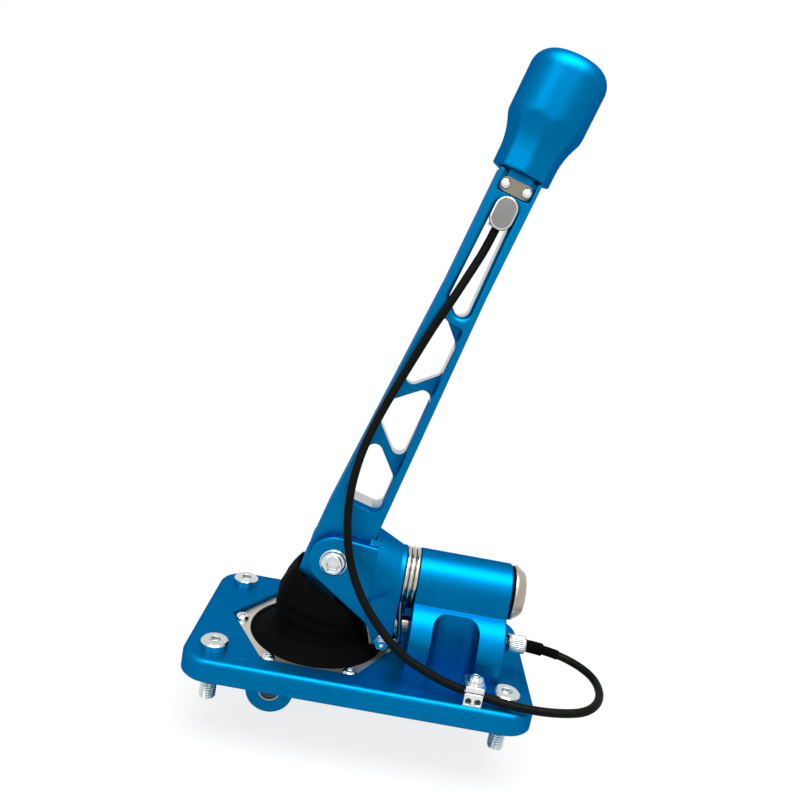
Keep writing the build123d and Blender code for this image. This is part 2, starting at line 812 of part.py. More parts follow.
# Pivot pin with a flanged dome head in front and a thread behind
pin_back = half_head + nut_height + pin_stand
with BuildPart() as pivot_pin:
    with BuildSketch(Plane.XZ.offset(-pin_back)):
        with Locations((pivot_x, pivot_z)):
            Circle(pin_radius)
    extrude(amount=pin_back + half_head)
    with BuildSketch(Plane.XZ.offset(half_head)):
        with Locations((pivot_x, pivot_z)):
            Circle(pin_head_radius)
    extrude(amount=pin_flange)
    with BuildSketch(Plane.XZ.offset(half_head + pin_flange)):
        with Locations((pivot_x, pivot_z)):
            Circle(pin_head_radius - pin_shoulder)
    extrude(amount=pin_head_height - pin_flange)
    fillet(pivot_pin.faces().sort_by(Axis.Y)[0].edges(), (pin_head_height - pin_flange) * dome_share)
    with BuildSketch(Plane.XZ.offset(half_head + pin_head_height)):
        with Locations((pivot_x, pivot_z)):
            RegularPolygon(pin_socket / 2, 6, major_radius=False)
    extrude(amount=-pin_head_height * socket_share, mode=Mode.SUBTRACT)
keep(pivot_pin.part, "pivot_pin")

with BuildPart() as pivot_nut:
    with BuildSketch(Plane.XZ.offset(-half_head)):
        with Locations((pivot_x, pivot_z)):
            RegularPolygon(nut_across_flats / 2, 6, major_radius=False)
            Circle(pin_radius, mode=Mode.SUBTRACT)
    extrude(amount=-nut_height)
keep(pivot_nut.part, "pivot_nut")

# Lever arm: pivot block, channelled arm braced by diagonals, long slot, lower leg with its eye
windows = [
    [(-8.2, 29.0), (-8.2, 63.0), (9.6, 46.3), (10.2, 29.0)],
    [(-8.2, 69.0), (-8.0, 81.3), (8.9, 97.4), (9.4, 52.4)],
    [(-7.4, 86.8), (-7.0, 134.1), (8.0, 119.4), (8.1, 102.6)],
    [(-5.7, 138.6), (-5.1, slot_top), (5.2, slot_top), (6.8, 126.8)],
]
with BuildPart() as lever_arm:
    with BuildSketch(lever_plane):
        with BuildLine():
            Polyline(
                (-arm_half_foot + arm_foot_inset, arm_foot),
                (-arm_half_foot, arm_taper_start),
                (-arm_half_top, arm_taper_end),
                (-arm_half_top, arm_top),
                (arm_half_top, arm_top),
                (arm_half_top, arm_taper_end),
                (arm_half_foot, arm_taper_start),
                (arm_half_foot, 0),
                (leg_half_width, -leg_shoulder),
                (leg_half_width, arm_foot),
                close=True,
            )
        make_face()
        Circle(arm_half_foot)
    extrude(amount=half_arm, both=True)
    with BuildSketch(lever_plane):
        with Locations((0, -eye_reach)):
            Circle(eye_radius)
        with Locations((0, -eye_reach / 2)):
            Rectangle(2 * leg_half_width, eye_reach)
    extrude(amount=leg_thickness / 2, both=True)
    with BuildSketch(lever_plane.offset(half_arm)) as channel:
        with BuildLine():
            Polyline(
                (-arm_half_width(channel_foot) + flange_width, channel_foot),
                (-arm_half_width(channel_top) + flange_width, channel_top),
                (arm_half_width(channel_top) - flange_width, channel_top),
                (arm_half_width(channel_foot) - flange_width, channel_foot),
                close=True,
            )
        make_face()
        fillet(channel.vertices(), channel_corner)
    extrude(amount=-channel_depth, mode=Mode.SUBTRACT)
    for outline in windows:
        with BuildSketch(lever_plane) as window:
            with BuildLine():
                Polyline(*outline, close=True)
            make_face()
            fillet(window.vertices(), window_corner)
        extrude(amount=arm_thickness, both=True, mode=Mode.SUBTRACT)
    fillet(lever_arm.edges(Select.LAST).group_by(Axis.Y)[0], slot_edge)
    with BuildSketch(lever_plane.offset(half_arm)):
        with Locations((0, stop_block_centre)):
            SlotOverall(stop_block_length, stop_block_width, rotation=90)
    extrude(amount=-stop_block_seat, mode=Mode.SUBTRACT)
    with BuildSketch(lever_section(slot_top - overrun)):
        with Locations((0, -wire_depth)):
            Circle(wire_radius + wire_clearance)
    extrude(amount=anchor_pocket_foot - slot_top + 2 * overrun, mode=Mode.SUBTRACT)
    with BuildSketch(lever_plane.offset(half_arm)) as anchor_pocket:
        with Locations((0, (anchor_pocket_foot + arm_top + overrun) / 2)):
            Rectangle(2 * anchor_pocket_half_width, arm_top + overrun - anchor_pocket_foot)
        fillet(anchor_pocket.vertices().group_by(Axis.Z)[0], anchor_pocket_corner)
    extrude(amount=-anchor_pocket_depth, mode=Mode.SUBTRACT)
    with BuildSketch(lever_section(arm_top)):
        Circle(post_radius)
    extrude(amount=post_top - arm_top)
    with BuildSketch(lever_plane):
        Circle(lever_bush_radius)
        with Locations((0, -eye_reach)):
            Circle(eye_sleeve_radius)
    extrude(amount=arm_thickness, both=True, mode=Mode.SUBTRACT)
keep(lever_arm.part, "lever_arm")

# Bush that the lever turns on
with BuildPart() as lever_bush:
    with BuildSketch(lever_plane):
        Circle(lever_bush_radius)
        Circle(pin_radius + running_clearance, mode=Mode.SUBTRACT)
    extrude(amount=half_arm, both=True)
keep(lever_bush.part, "lever_bush")

# Steel sleeve and plain bush in the lower eye
with BuildPart() as eye_sleeve:
    with BuildSketch(lever_plane):
        with Locations((0, -eye_reach)):
            Circle(eye_sleeve_radius)
            Circle(eye_sleeve_radius - eye_sleeve_wall, mode=Mode.SUBTRACT)
    extrude(amount=leg_thickness / 2 + eye_sleeve_proud, both=True)
keep(eye_sleeve.part, "eye_sleeve")

with BuildPart() as eye_bush:
    with BuildSketch(lever_plane):
        with Locations((0, -eye_reach)):
            Circle(eye_sleeve_radius - eye_sleeve_wall)
            Circle(eye_bore_radius, mode=Mode.SUBTRACT)
    extrude(amount=leg_thickness / 2 - eye_bush_inset, both=True)
keep(eye_bush.part, "eye_bush")

# Cable stop: a block in the head of the long window
stop_back = half_arm - stop_block_seat
with BuildPart() as cable_stop:
    with BuildSketch(lever_plane.offset(stop_back)):
        with Locations((0, stop_block_centre)):
            SlotOverall(stop_block_length, stop_block_width, rotation=90)
    extrude(amount=stop_block_seat + stop_block_proud)
    chamfer(cable_stop.faces().sort_by(Axis.Y)[0].edges(), stop_block_edge)
    with BuildSketch(lever_plane.offset(stop_back)):
        with Locations((0, stop_boss_foot + stop_boss_length / 2)):
            Rectangle(stop_boss_width, stop_boss_length)
    extrude(amount=-stop_boss_depth)
    with BuildSketch(lever_section(stop_boss_foot)):
        with Locations((0, -wire_depth)):
            Circle(wire_radius + wire_clearance)
    extrude(amount=stop_boss_length, mode=Mode.SUBTRACT)
keep(cable_stop.part, "cable_stop")

# Post retainer at the top of the lever's post, inside the knob
with BuildPart() as post_retainer:
    with BuildSketch(lever_section(post_top)):
        Circle(retainer_cap_radius)
    extrude(amount=retainer_cap_height)
keep(post_retainer.part, "post_retainer")

# Knob: cylinder with a spherical crown, whose lower half is cut to hollow facets. The seam of
# the round part stays off the facets' edges.
crown_half = knob_radius - knob_edge_radius
crown_radius = (crown_half**2 + knob_dome**2) / (2 * knob_dome)
crown_angle = degrees(asin(crown_half / crown_radius))
facet_turn = 360 / facet_count
facet_out = knob_radius + facet_reach
facet_end = facet_rise + sqrt(facet_round**2 - (facet_round - facet_out + facet_apothem) ** 2)
with BuildPart() as knob:
    with BuildSketch(Plane(lever_plane.location * Rotation(0, facet_turn / 4, 0))):
        with BuildLine():
            side_end = (knob_radius, knob_top - knob_edge_radius - knob_dome)
            edge_end = (crown_half, knob_top - knob_dome)
            Line((0, knob_foot), (knob_radius, knob_foot))
            Line((knob_radius, knob_foot), side_end)
            RadiusArc(side_end, edge_end, -knob_edge_radius)
            CenterArc((0, knob_top - crown_radius), crown_radius, 90, -crown_angle)
            Line((0, knob_top), (0, knob_foot))
        make_face()
    revolve(axis=lever_axis)
    for k in range(facet_count):
        turned = Plane(lever_plane.location * Rotation(0, facet_turn * (k + 0.5), 0))
        with BuildSketch(turned):
            with BuildLine():
                low_in = (facet_apothem, knob_foot - overrun)
                low_out = (facet_out, knob_foot - overrun)
                Line(low_in, (facet_apothem, facet_rise))
                RadiusArc((facet_apothem, facet_rise), (facet_out, facet_end), facet_round)
                Line((facet_out, facet_end), low_out)
                Line(low_out, low_in)
            make_face()
        extrude(amount=knob_radius, both=True, mode=Mode.SUBTRACT)
    with BuildSketch(lever_section(knob_foot)):
        Circle(knob_bush_radius)
    extrude(amount=knob_chamber_end - knob_foot, mode=Mode.SUBTRACT)
keep(knob.part, "knob")

# Knob bush: slides on the post and carries the bracket that reaches down to the anchor plate
with BuildPart() as knob_bush:
    with BuildSketch(lever_section(knob_bush_start)):
        Circle(knob_bush_radius)
        Circle(post_radius + running_clearance, mode=Mode.SUBTRACT)
    extrude(amount=knob_bush_end - knob_bush_start)
    with BuildSketch(lever_section(anchor_centre - anchor_width / 2)):
        with Locations((0, -bracket_front + tongue_thickness / 2)):
            Rectangle(2 * bracket_half_width, tongue_thickness)
    extrude(amount=knob_bush_start - anchor_centre + anchor_width / 2)
    with BuildSketch(lever_plane):
        with Locations((-anchor_spacing / 2, anchor_centre), (anchor_spacing / 2, anchor_centre)):
            Circle(anchor_screw_radius)
    extrude(amount=half_arm, mode=Mode.SUBTRACT)
keep(knob_bush.part, "knob_bush")

# Anchor plate and its two screws
with BuildPart() as anchor_plate:
    with BuildSketch(lever_plane.offset(bracket_front)):
        with Locations((0, anchor_centre)):
            SlotOverall(anchor_length, anchor_width)
        with Locations((-anchor_spacing / 2, anchor_centre), (anchor_spacing / 2, anchor_centre)):
            Circle(anchor_screw_radius, mode=Mode.SUBTRACT)
    extrude(amount=anchor_thickness)
keep(anchor_plate.part, "anchor_plate")

with BuildPart() as anchor_screws:
    with BuildSketch(lever_plane.offset(bracket_front + anchor_thickness)):
        with Locations((-anchor_spacing / 2, anchor_centre), (anchor_spacing / 2, anchor_centre)):
            Circle(anchor_head_radius)
    extrude(amount=anchor_head_height)
    fillet(anchor_screws.faces().group_by(Axis.Y)[0].edges(), anchor_head_height * dome_share)
    with BuildSketch(lever_plane.offset(bracket_front + anchor_thickness)):
        with Locations((-anchor_spacing / 2, anchor_centre), (anchor_spacing / 2, anchor_centre)):
            Circle(anchor_screw_radius)
    extrude(amount=-anchor_thickness - tongue_thickness)
keep(anchor_screws.part, "anchor_screws")

# Knob return spring around the post, between the bush and the retainer
spring_length = post_top - knob_bush_end
knob_spring_pitch = (spring_length - knob_spring_wire - 2 * wire_gap) / knob_spring_turns
knob_spring = coil(
    knob_spring_radius,
    knob_spring_wire,
    knob_spring_pitch,
    knob_spring_turns,
    lever_point(0, knob_bush_end + knob_spring_wire / 2 + wire_gap),
    lever_up,
)
keep(knob_spring, "knob_spring")

# Inner wire of the cable, from inside the stop block to the foot of the bracket
wire_start = stop_boss_foot + wire_clearance
with BuildPart() as inner_wire:
    with BuildSketch(lever_section(wire_start)):
        with Locations((0, -wire_depth)):
            Circle(wire_radius)
    extrude(amount=anchor_centre - anchor_width / 2 - wire_start)
keep(inner_wire.part, "inner_wire")

# Lockout pin and its spring in the pedestal
with BuildPart() as lockout_pin:
    with BuildSketch(Plane.YZ.offset(lock_tip_x)):
        with Locations((0, lock_z)):
            Circle(lock_pin_radius)
    extrude(amount=lock_pin_length)
    chamfer(lockout_pin.faces().sort_by(Axis.X)[0].edges(), thread_chamfer)
keep(lockout_pin.part, "lockout_pin")

lock_spring_room = lock_chamber_end - lock_pin_end
lock_spring_pitch = (lock_spring_room - lock_spring_wire - 2 * wire_gap) / lock_spring_turns
lockout_spring = coil(
    lock_spring_radius,
    lock_spring_wire,
    lock_spring_pitch,
    lock_spring_turns,
    (lock_pin_end + lock_spring_wire / 2 + wire_gap, 0, lock_z),
    (1, 0, 0),
)
keep(lockout_spring, "lockout_spring")

# Cable adjuster: a threaded neck and a thimble
with BuildPart() as adjuster_neck:
    with BuildSketch(Plane.YZ.offset(lock_chamber_end)):
        with Locations((0, lock_z)):
            Circle(neck_radius)
    extrude(amount=thimble_start - lock_chamber_end)
keep(adjuster_neck.part, "adjuster_neck")

with BuildPart() as adjuster_thimble:
    with BuildSketch(Plane.YZ.offset(thimble_start)):
        with Locations((0, lock_z)):
            Circle(thimble_radius)
    extrude(amount=thimble_length)
    chamfer(adjuster_thimble.edges().filter_by(GeomType.CIRCLE), thimble_edge)
keep(adjuster_thimble.part, "adjuster_thimble")

# The cable's route: round a loop, through the clamp, up past the head and along the lever
cable_start = (thimble_start + thimble_length + thimble_gap, 0, lock_z)
clamp_point = (52.9, -42.2, 14.8)
before_clamp = (62.5, -42.9, 13.6)
after_clamp = (43.3, -41.5, 16.0)
split_point = (-7.7, -30.3, 49.7)
cable_end = lever_point(0, stop_boss_foot, -wire_depth)
loop_points = [
    cable_start,
    (93.0, 0.2, 20.8),
    (106.5, -5.0, 19.9),
    (116.0, -15.6, 18.7),
    (116.0, -31.4, 17.5),
    (107.5, -43.2, 16.1),
    (93.5, -46.9, 15.0),
    (77.0, -46.6, 14.0),
    before_clamp,
    clamp_point,
]
rise_points = [
    clamp_point,
    after_clamp,
    (31.5, -41.0, 19.9),
    (17.5, -38.7, 25.1),
    (5.3, -35.3, 34.6),
    (-4.2, -31.8, 44.4),
    split_point,
]
upper_points = [
    split_point,
    (-11.2, -28.8, 55.0),
    (-16.6, -26.0, 68.0),
    (-19.6, -23.4, 84.0),
    (-19.9, -20.8, 99.5),
    (-17.6, -18.3, 115.5),
    (-13.2, -16.4, 130.5),
    (-7.6, -14.9, 146.0),
    (-1.6, -13.6, 161.5),
    (4.4, -12.8, 177.0),
    (9.6, -12.2, 188.0),
    (16.0, -9.2, 203.0),
    lever_point(0, stop_boss_foot - cable_straight, -wire_depth),
    cable_end,
]


def cable_tube(points, name):
    """A tube of straight runs and tangent arcs, each arc as large as its two runs allow."""
    corners = [Vector(*point) for point in points]
    radii = []
    for before, here, after in zip(corners, corners[1:], corners[2:]):
        turn = radians((here - before).get_angle(after - here))
        shorter = min((here - before).length, (after - here).length)
        radii.append(bend_share * shorter / tan(turn / 2))
    with BuildPart() as tube:
        with BuildLine() as route:
            FilletPolyline(*corners, radius=radii)
        with BuildSketch(Plane(origin=corners[0], z_dir=corners[1] - corners[0])):
            Circle(cable_diameter / 2)
        sweep()
    length = route.wires()[0].length
    share = tube.part.volume / (length * pi * cable_diameter**2 / 4)
    print(f"{name}: {length:.1f} mm, volume ratio {share:.4f}, radii {[round(r, 1) for r in radii]}")
    keep(tube.part, name)
    return route.wires()[0]


loop_route = cable_tube(loop_points, "cable_loop")
cable_tube(rise_points, "cable_rise")
cable_tube(upper_points, "cable_upper")

# Shrunk sleeve on the cable behind the thimble, in two steps
first_step = sleeve_length / loop_route.length
second_step = (sleeve_length + sleeve_tail_length) / loop_route.length
with BuildPart() as cable_sleeve:
    for begin, end, radius in ((0, first_step, sleeve_radius), (first_step, second_step, sleeve_tail_radius)):
        path = loop_route.trim(begin, end)
        with BuildSketch(Plane(origin=path @ 0, z_dir=path % 0)):
            Circle(radius)
            Circle(cable_diameter / 2, mode=Mode.SUBTRACT)
        sweep(path=path)
keep(cable_sleeve.part, "cable_sleeve")

# Cable clamp: a block with a groove and two grub screws in front, and a screw down into it
clamp_screw_y = clamp_point[1]
clamp_way = Vector(*after_clamp) - Vector(*before_clamp)
with BuildPart() as cable_clamp:
    with BuildSketch(Plane.XY.offset(plate_top)):
        with Locations((clamp_middle, clamp_front + clamp_depth / 2)):
            Rectangle(clamp_length, clamp_depth)
    extrude(amount=clamp_height)
    fillet(cable_clamp.edges().filter_by(Axis.Z), clamp_edge)
    with BuildSketch(Plane(origin=clamp_point, z_dir=clamp_way)):
        Circle(cable_diameter / 2)
    extrude(amount=clamp_length, both=True, mode=Mode.SUBTRACT)
    with BuildSketch(Plane.XZ.offset(-clamp_front)):
        with Locations((clamp_middle, plate_top + clamp_slit_height)):
            Rectangle(clamp_length, clamp_slit)
    extrude(amount=-clamp_slit_depth, mode=Mode.SUBTRACT)
    with BuildSketch(Plane.XY.offset(clamp_top)):
        with Locations((clamp_middle, clamp_screw_y)):
            Circle(clamp_screw_radius)
    extrude(amount=-clamp_screw_length, mode=Mode.SUBTRACT)
    with BuildSketch(Plane.XZ.offset(-clamp_front)):
        with Locations((clamp_middle, plate_top + grub_height)):
            with GridLocations(grub_spacing, 1, 2, 1):
                Circle(grub_radius)
    extrude(amount=-grub_recess - grub_length, mode=Mode.SUBTRACT)
keep(cable_clamp.part, "cable_clamp")

with BuildPart() as clamp_grubs:
    with BuildSketch(Plane.XZ.offset(-clamp_front - grub_recess)):
        with Locations((clamp_middle, plate_top + grub_height)):
            with GridLocations(grub_spacing, 1, 2, 1):
                Circle(grub_radius)
                RegularPolygon(grub_socket / 2, 6, major_radius=False, mode=Mode.SUBTRACT)
    extrude(amount=-grub_length)
keep(clamp_grubs.part, "clamp_grubs")

with BuildPart() as clamp_washer:
    with BuildSketch(Plane.XY.offset(clamp_top)):
        with Locations((clamp_middle, clamp_screw_y)):
            Circle(clamp_washer_radius)
            Circle(clamp_screw_radius, mode=Mode.SUBTRACT)
    extrude(amount=clamp_washer_thickness)
keep(clamp_washer.part, "clamp_washer")

with BuildPart() as clamp_screw:
    with BuildSketch(Plane.XY.offset(clamp_top + clamp_washer_thickness)):
        with Locations((clamp_middle, clamp_screw_y)):
            Circle(clamp_head_radius)
    extrude(amount=clamp_head_dome)
    fillet(clamp_screw.faces().sort_by(Axis.Z)[-1].edges(), clamp_head_dome * dome_share)
    with BuildSketch(Plane.XY.offset(clamp_top - clamp_screw_length)):
        with Locations((clamp_middle, clamp_screw_y)):
            Circle(clamp_screw_radius)
    extrude(amount=clamp_screw_length + clamp_washer_thickness)
    with BuildSketch(Plane.XY.offset(clamp_top + clamp_washer_thickness + clamp_head_dome)):
        with Locations((clamp_middle, clamp_screw_y)):
            RegularPolygon(small_socket / 2, 6, major_radius=False)
    extrude(amount=-small_socket_depth, mode=Mode.SUBTRACT)
keep(clamp_screw.part, "clamp_screw")
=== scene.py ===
# %% [markdown]
# # A short shifter, finished
# The solids of the part come in at their true size and in their true place. This lesson gives each
# of them the surface that a maker would give it: anodised aluminium, polished screws, black rubber
# and cable. Soft or fine pieces, such as the boot, the spring and the threads, are made anew as
# surfaces worked out with arrays. Lengths are metres; X runs along the plate, Y to the back, Z up.

import bmesh
import bpy
import json
import numpy as np
from mathutils import Matrix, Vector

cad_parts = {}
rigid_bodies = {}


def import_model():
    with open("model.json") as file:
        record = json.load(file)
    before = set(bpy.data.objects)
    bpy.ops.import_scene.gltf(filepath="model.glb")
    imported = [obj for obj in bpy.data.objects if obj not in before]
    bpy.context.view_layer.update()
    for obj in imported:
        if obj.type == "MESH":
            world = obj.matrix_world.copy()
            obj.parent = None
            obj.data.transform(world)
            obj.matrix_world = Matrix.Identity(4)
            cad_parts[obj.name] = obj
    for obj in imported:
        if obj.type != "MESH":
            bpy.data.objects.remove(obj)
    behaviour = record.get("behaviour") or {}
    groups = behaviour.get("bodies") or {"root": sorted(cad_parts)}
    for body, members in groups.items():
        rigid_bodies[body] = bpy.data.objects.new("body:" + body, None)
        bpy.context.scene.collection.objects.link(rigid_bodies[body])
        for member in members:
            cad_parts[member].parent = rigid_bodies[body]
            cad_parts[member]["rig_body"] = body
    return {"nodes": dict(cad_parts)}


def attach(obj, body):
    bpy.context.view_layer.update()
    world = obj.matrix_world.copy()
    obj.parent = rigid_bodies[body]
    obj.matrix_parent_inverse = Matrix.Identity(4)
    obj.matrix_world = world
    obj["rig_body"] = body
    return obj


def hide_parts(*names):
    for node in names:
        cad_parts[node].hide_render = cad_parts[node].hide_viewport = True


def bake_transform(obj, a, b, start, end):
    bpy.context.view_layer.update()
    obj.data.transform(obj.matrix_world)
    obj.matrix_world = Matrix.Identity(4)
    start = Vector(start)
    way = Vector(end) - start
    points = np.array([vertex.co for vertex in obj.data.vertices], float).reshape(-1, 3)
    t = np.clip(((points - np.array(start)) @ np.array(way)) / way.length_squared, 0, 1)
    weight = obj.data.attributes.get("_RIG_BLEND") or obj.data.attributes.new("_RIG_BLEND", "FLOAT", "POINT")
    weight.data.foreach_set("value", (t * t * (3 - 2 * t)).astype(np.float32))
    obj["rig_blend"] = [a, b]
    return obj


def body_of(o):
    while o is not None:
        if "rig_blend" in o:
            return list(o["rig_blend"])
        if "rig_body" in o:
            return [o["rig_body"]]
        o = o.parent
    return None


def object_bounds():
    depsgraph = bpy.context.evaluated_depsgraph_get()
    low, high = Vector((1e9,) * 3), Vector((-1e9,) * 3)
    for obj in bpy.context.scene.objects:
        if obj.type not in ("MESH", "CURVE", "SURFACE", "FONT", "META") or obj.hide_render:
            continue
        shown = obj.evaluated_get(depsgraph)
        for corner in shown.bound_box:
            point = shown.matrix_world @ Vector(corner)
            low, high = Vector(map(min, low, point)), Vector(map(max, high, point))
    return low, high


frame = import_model()
nodes = frame["nodes"]
cad_box = [list(corner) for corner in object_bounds()]
# The drawings count heights from the plate's underside, and the part stands on thin collars.
collar = np.array([0.0, 0.0, 0.0016])
print("solids:", len(nodes), "box:", np.round(cad_box, 4).tolist())

# %% [markdown]
# ## The camera
# The photograph looks down on the part from in front, a little to its left, with the camera leaning
# to one side. Its place and its three turns were solved from the plate's corners and screws, so they
# are written as numbers. The three directions of the picture are worked out from the turns and become
# the columns of the camera's matrix.

# %% Work out the directions of the picture
# The three turns, in radians
turn_right, turn_down, lean_over = 0.017, 0.199, 0.186
ahead = np.array([
    np.sin(turn_right) * np.cos(turn_down), np.cos(turn_right) * np.cos(turn_down), -np.sin(turn_down),
])
level = np.array([np.cos(turn_right), -np.sin(turn_right), 0.0])
upright = np.cross(level, ahead)
picture_right = np.cos(lean_over) * level + np.sin(lean_over) * upright
picture_up = np.cos(lean_over) * upright - np.sin(lean_over) * level
print("the camera looks along", np.round(ahead, 3).tolist())

# %% Set the camera
sensor_width, focal_pixels, picture_pixels = 36.0, 781.8, 800
camera = bpy.data.objects.new("camera", bpy.data.cameras.new("camera"))
bpy.context.scene.collection.objects.link(camera)
bpy.context.scene.camera = camera
camera_place = np.array([-0.0110, -0.3717, 0.2116]) + collar
camera.matrix_world = Matrix(np.vstack([
    np.column_stack([picture_right, picture_up, -ahead, camera_place]), [0, 0, 0, 1],
]).tolist())
camera.data.sensor_width = sensor_width
camera.data.lens = sensor_width * focal_pixels / picture_pixels
camera.data.clip_start, camera.data.clip_end = 0.01, 50.0
print("lens:", round(camera.data.lens, 2), "mm")

# %% [markdown]
# ## Skins
# Round things are easiest as rows of points: each row is a ring, and quads join it to the next. The
# same skin serves the cable, the knob, the boot, the spring and the threads. A skin can come out
# inside out, so its volume is summed over its faces, and the faces are turned round when it is
# negative. Edges that turn by more than 45 degrees stay sharp.

# %% Make a skin from rows of points
sharp_from = np.radians(45)


def skin(name, rings, closed=True):
    """Quads between neighbouring rings; where closed, a fan to the ring's middle shuts each end.
    The signed volume, a sum of triple products of the corners, decides which way the faces turn."""
    rows, columns, _ = rings.shape
    index = np.arange(rows * columns).reshape(rows, columns)
    beside = np.roll(index, -1, axis=1)
    quads = np.stack([index[:-1], beside[:-1], beside[1:], index[1:]], axis=-1).reshape(-1, 4)
    points = rings.reshape(-1, 3)
    corner, second, third, fourth = (points[quads[:, k]] - points.mean(0) for k in range(4))
    volume = (np.cross(corner, second) * third + np.cross(corner, third) * fourth).sum()
    faces = quads.tolist()
    if closed:
        points = np.vstack([points, rings[0].mean(0), rings[-1].mean(0)])
        first = np.stack([beside[0], index[0], np.full(columns, rows * columns)], axis=-1)
        last = np.stack([index[-1], beside[-1], np.full(columns, rows * columns + 1)], axis=-1)
        faces += first.tolist() + last.tolist()
    if volume < 0:
        faces = [face[::-1] for face in faces]
    mesh = bpy.data.meshes.new(name)
    mesh.from_pydata(points.tolist(), [], faces)
    mesh.shade_smooth()
    mesh.set_sharp_from_angle(angle=sharp_from)
    piece = bpy.data.objects.new(name, mesh)
    bpy.context.scene.collection.objects.link(piece)
    return piece


print("skin: rows of points become a closed surface")


# %% Put rings of points round a line
def tube(line, radius, columns=24, across=(0, 0, 1)):
    """Rings of points round a line. A ring's plane is square to the line's direction there; its two
    axes are the direction crossed with a fixed one, and the direction crossed with that. The radius
    is one number, one for each ring, or one for each point of each ring."""
    along = np.gradient(line, axis=0)
    along /= np.linalg.norm(along, axis=1, keepdims=True)
    side = np.cross(along, across)
    side /= np.linalg.norm(side, axis=1, keepdims=True)
    over = np.cross(along, side)
    turn = 2 * np.pi * np.arange(columns) / columns
    around = np.cos(turn)[:, None] * side[:, None] + np.sin(turn)[:, None] * over[:, None]
    reach = np.asarray(radius, float)
    if reach.ndim == 1:
        reach = reach[:, None]
    reach = np.broadcast_to(reach, (len(line), columns))
    return line[:, None] + reach[..., None] * around


def steps_along(line):
    """The distance from each point of a line to the next."""
    return np.linalg.norm(np.diff(line, axis=0), axis=1)


print("tube: a line becomes rows of points")

# %% [markdown]
# ## The cable
# A steel wire slides inside a black plastic cover 4 mm thick. The cover leaves the threaded adjuster
# at the foot of the barrel, loops round, passes through the clamp, rises past the head and ends in
# the stop block near the knob. A smooth curve is drawn through the given points, and the tube
# follows it. The run is in three lengths, because the clamp stays put while the head and the lever
# swing. The cover bends between the bodies that it spans.

# %% Place the points of the route
clamp_point = (0.0529, -0.0422, 0.0148)
head_point = (-0.0077, -0.0303, 0.0497)
loop_points = [
    (0.0822, 0.0000, 0.0215), (0.0930, 0.0002, 0.0208), (0.1065, -0.0050, 0.0199),
    (0.1160, -0.0156, 0.0187), (0.1160, -0.0314, 0.0175), (0.1075, -0.0432, 0.0161),
    (0.0935, -0.0469, 0.0150), (0.0770, -0.0466, 0.0140), (0.0625, -0.0429, 0.0136),
    clamp_point,
]
rise_points = [
    clamp_point, (0.0433, -0.0415, 0.0160), (0.0315, -0.0410, 0.0199),
    (0.0175, -0.0387, 0.0251), (0.0053, -0.0353, 0.0346), (-0.0042, -0.0318, 0.0444),
    head_point,
]
upper_points = [
    head_point, (-0.0112, -0.0288, 0.0550), (-0.0166, -0.0260, 0.0680),
    (-0.0196, -0.0234, 0.0840), (-0.0199, -0.0208, 0.0995), (-0.0176, -0.0183, 0.1155),
    (-0.0132, -0.0164, 0.1305), (-0.0076, -0.0149, 0.1460), (-0.0016, -0.0136, 0.1615),
    (0.0044, -0.0128, 0.1770), (0.0096, -0.0122, 0.1880), (0.0160, -0.0092, 0.2030),
    (0.02109, -0.0068, 0.21508), (0.02370, -0.0068, 0.22473),
]
print("route:", len(loop_points), len(rise_points), len(upper_points), "points")


# %% Read a smooth line through the route
def cable_line(points):
    """Points read from a smooth curve of third order that the given points steer."""
    curve = bpy.data.curves.new("route", "CURVE")
    curve.dimensions = "3D"
    spline = curve.splines.new("NURBS")
    spline.points.add(len(points) - 1)
    steering = np.column_stack([np.array(points) + collar, np.ones(len(points))])
    spline.points.foreach_set("co", steering.ravel())
    spline.order_u = 3
    spline.use_endpoint_u = True
    spline.resolution_u = 12
    drawn = bpy.data.objects.new("route", curve)
    bpy.context.scene.collection.objects.link(drawn)
    mesh = bpy.data.meshes.new_from_object(drawn)
    line = np.empty(len(mesh.vertices) * 3)
    mesh.vertices.foreach_get("co", line)
    bpy.data.objects.remove(drawn)
    bpy.data.meshes.remove(mesh)
    return line.reshape(-1, 3)


loop_line, rise_line, upper_line = (cable_line(p) for p in (loop_points, rise_points, upper_points))
cover_length = sum(steps_along(line).sum() for line in (loop_line, rise_line, upper_line))
print("cable:", round(cover_length * 1000, 1), "mm of cover")

# %% Cover the wire
cable_radius = 0.0020
cover_loop = skin("cover_loop", tube(loop_line, cable_radius, across=(0, 0, 1)))
cover_rise = skin("cover_rise", tube(rise_line, cable_radius, across=(0, 1, 0)))
cover_upper = skin("cover_upper", tube(upper_line, cable_radius, across=(0, 1, 0)))
print("cover:", [len(cover.data.polygons) for cover in (cover_loop, cover_rise, cover_upper)], "faces")

# %% Hang the cable between the bodies
clamp_place = tuple(loop_line[-1])
head_place = tuple(rise_line[-1])
stop_place = tuple(upper_line[-1])
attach(cover_loop, "base")
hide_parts("cable_loop")
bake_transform(cover_rise, "base", "head", start=clamp_place, end=head_place)
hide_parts("cable_rise")
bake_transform(cover_upper, "head", "lever", start=head_place, end=stop_place)
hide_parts("cable_upper")
print("cable: clamp at", np.round(clamp_place, 4), "stop at", np.round(stop_place, 4))

# %% [markdown]
# ## Finishes
# No machined surface is one flat colour. Anodised aluminium has a slow drift of shade and the fine
# tooth of blasting, drawn wire has streaks along it, and moulded rubber has a skin. One recipe gives
# them all: a slow noise mixes two near shades, and a fine noise sways the roughness and lifts the
# surface by a few hundredths of a millimetre at most. Stretching the fine noise along one axis makes
# it a brushed or turned surface.


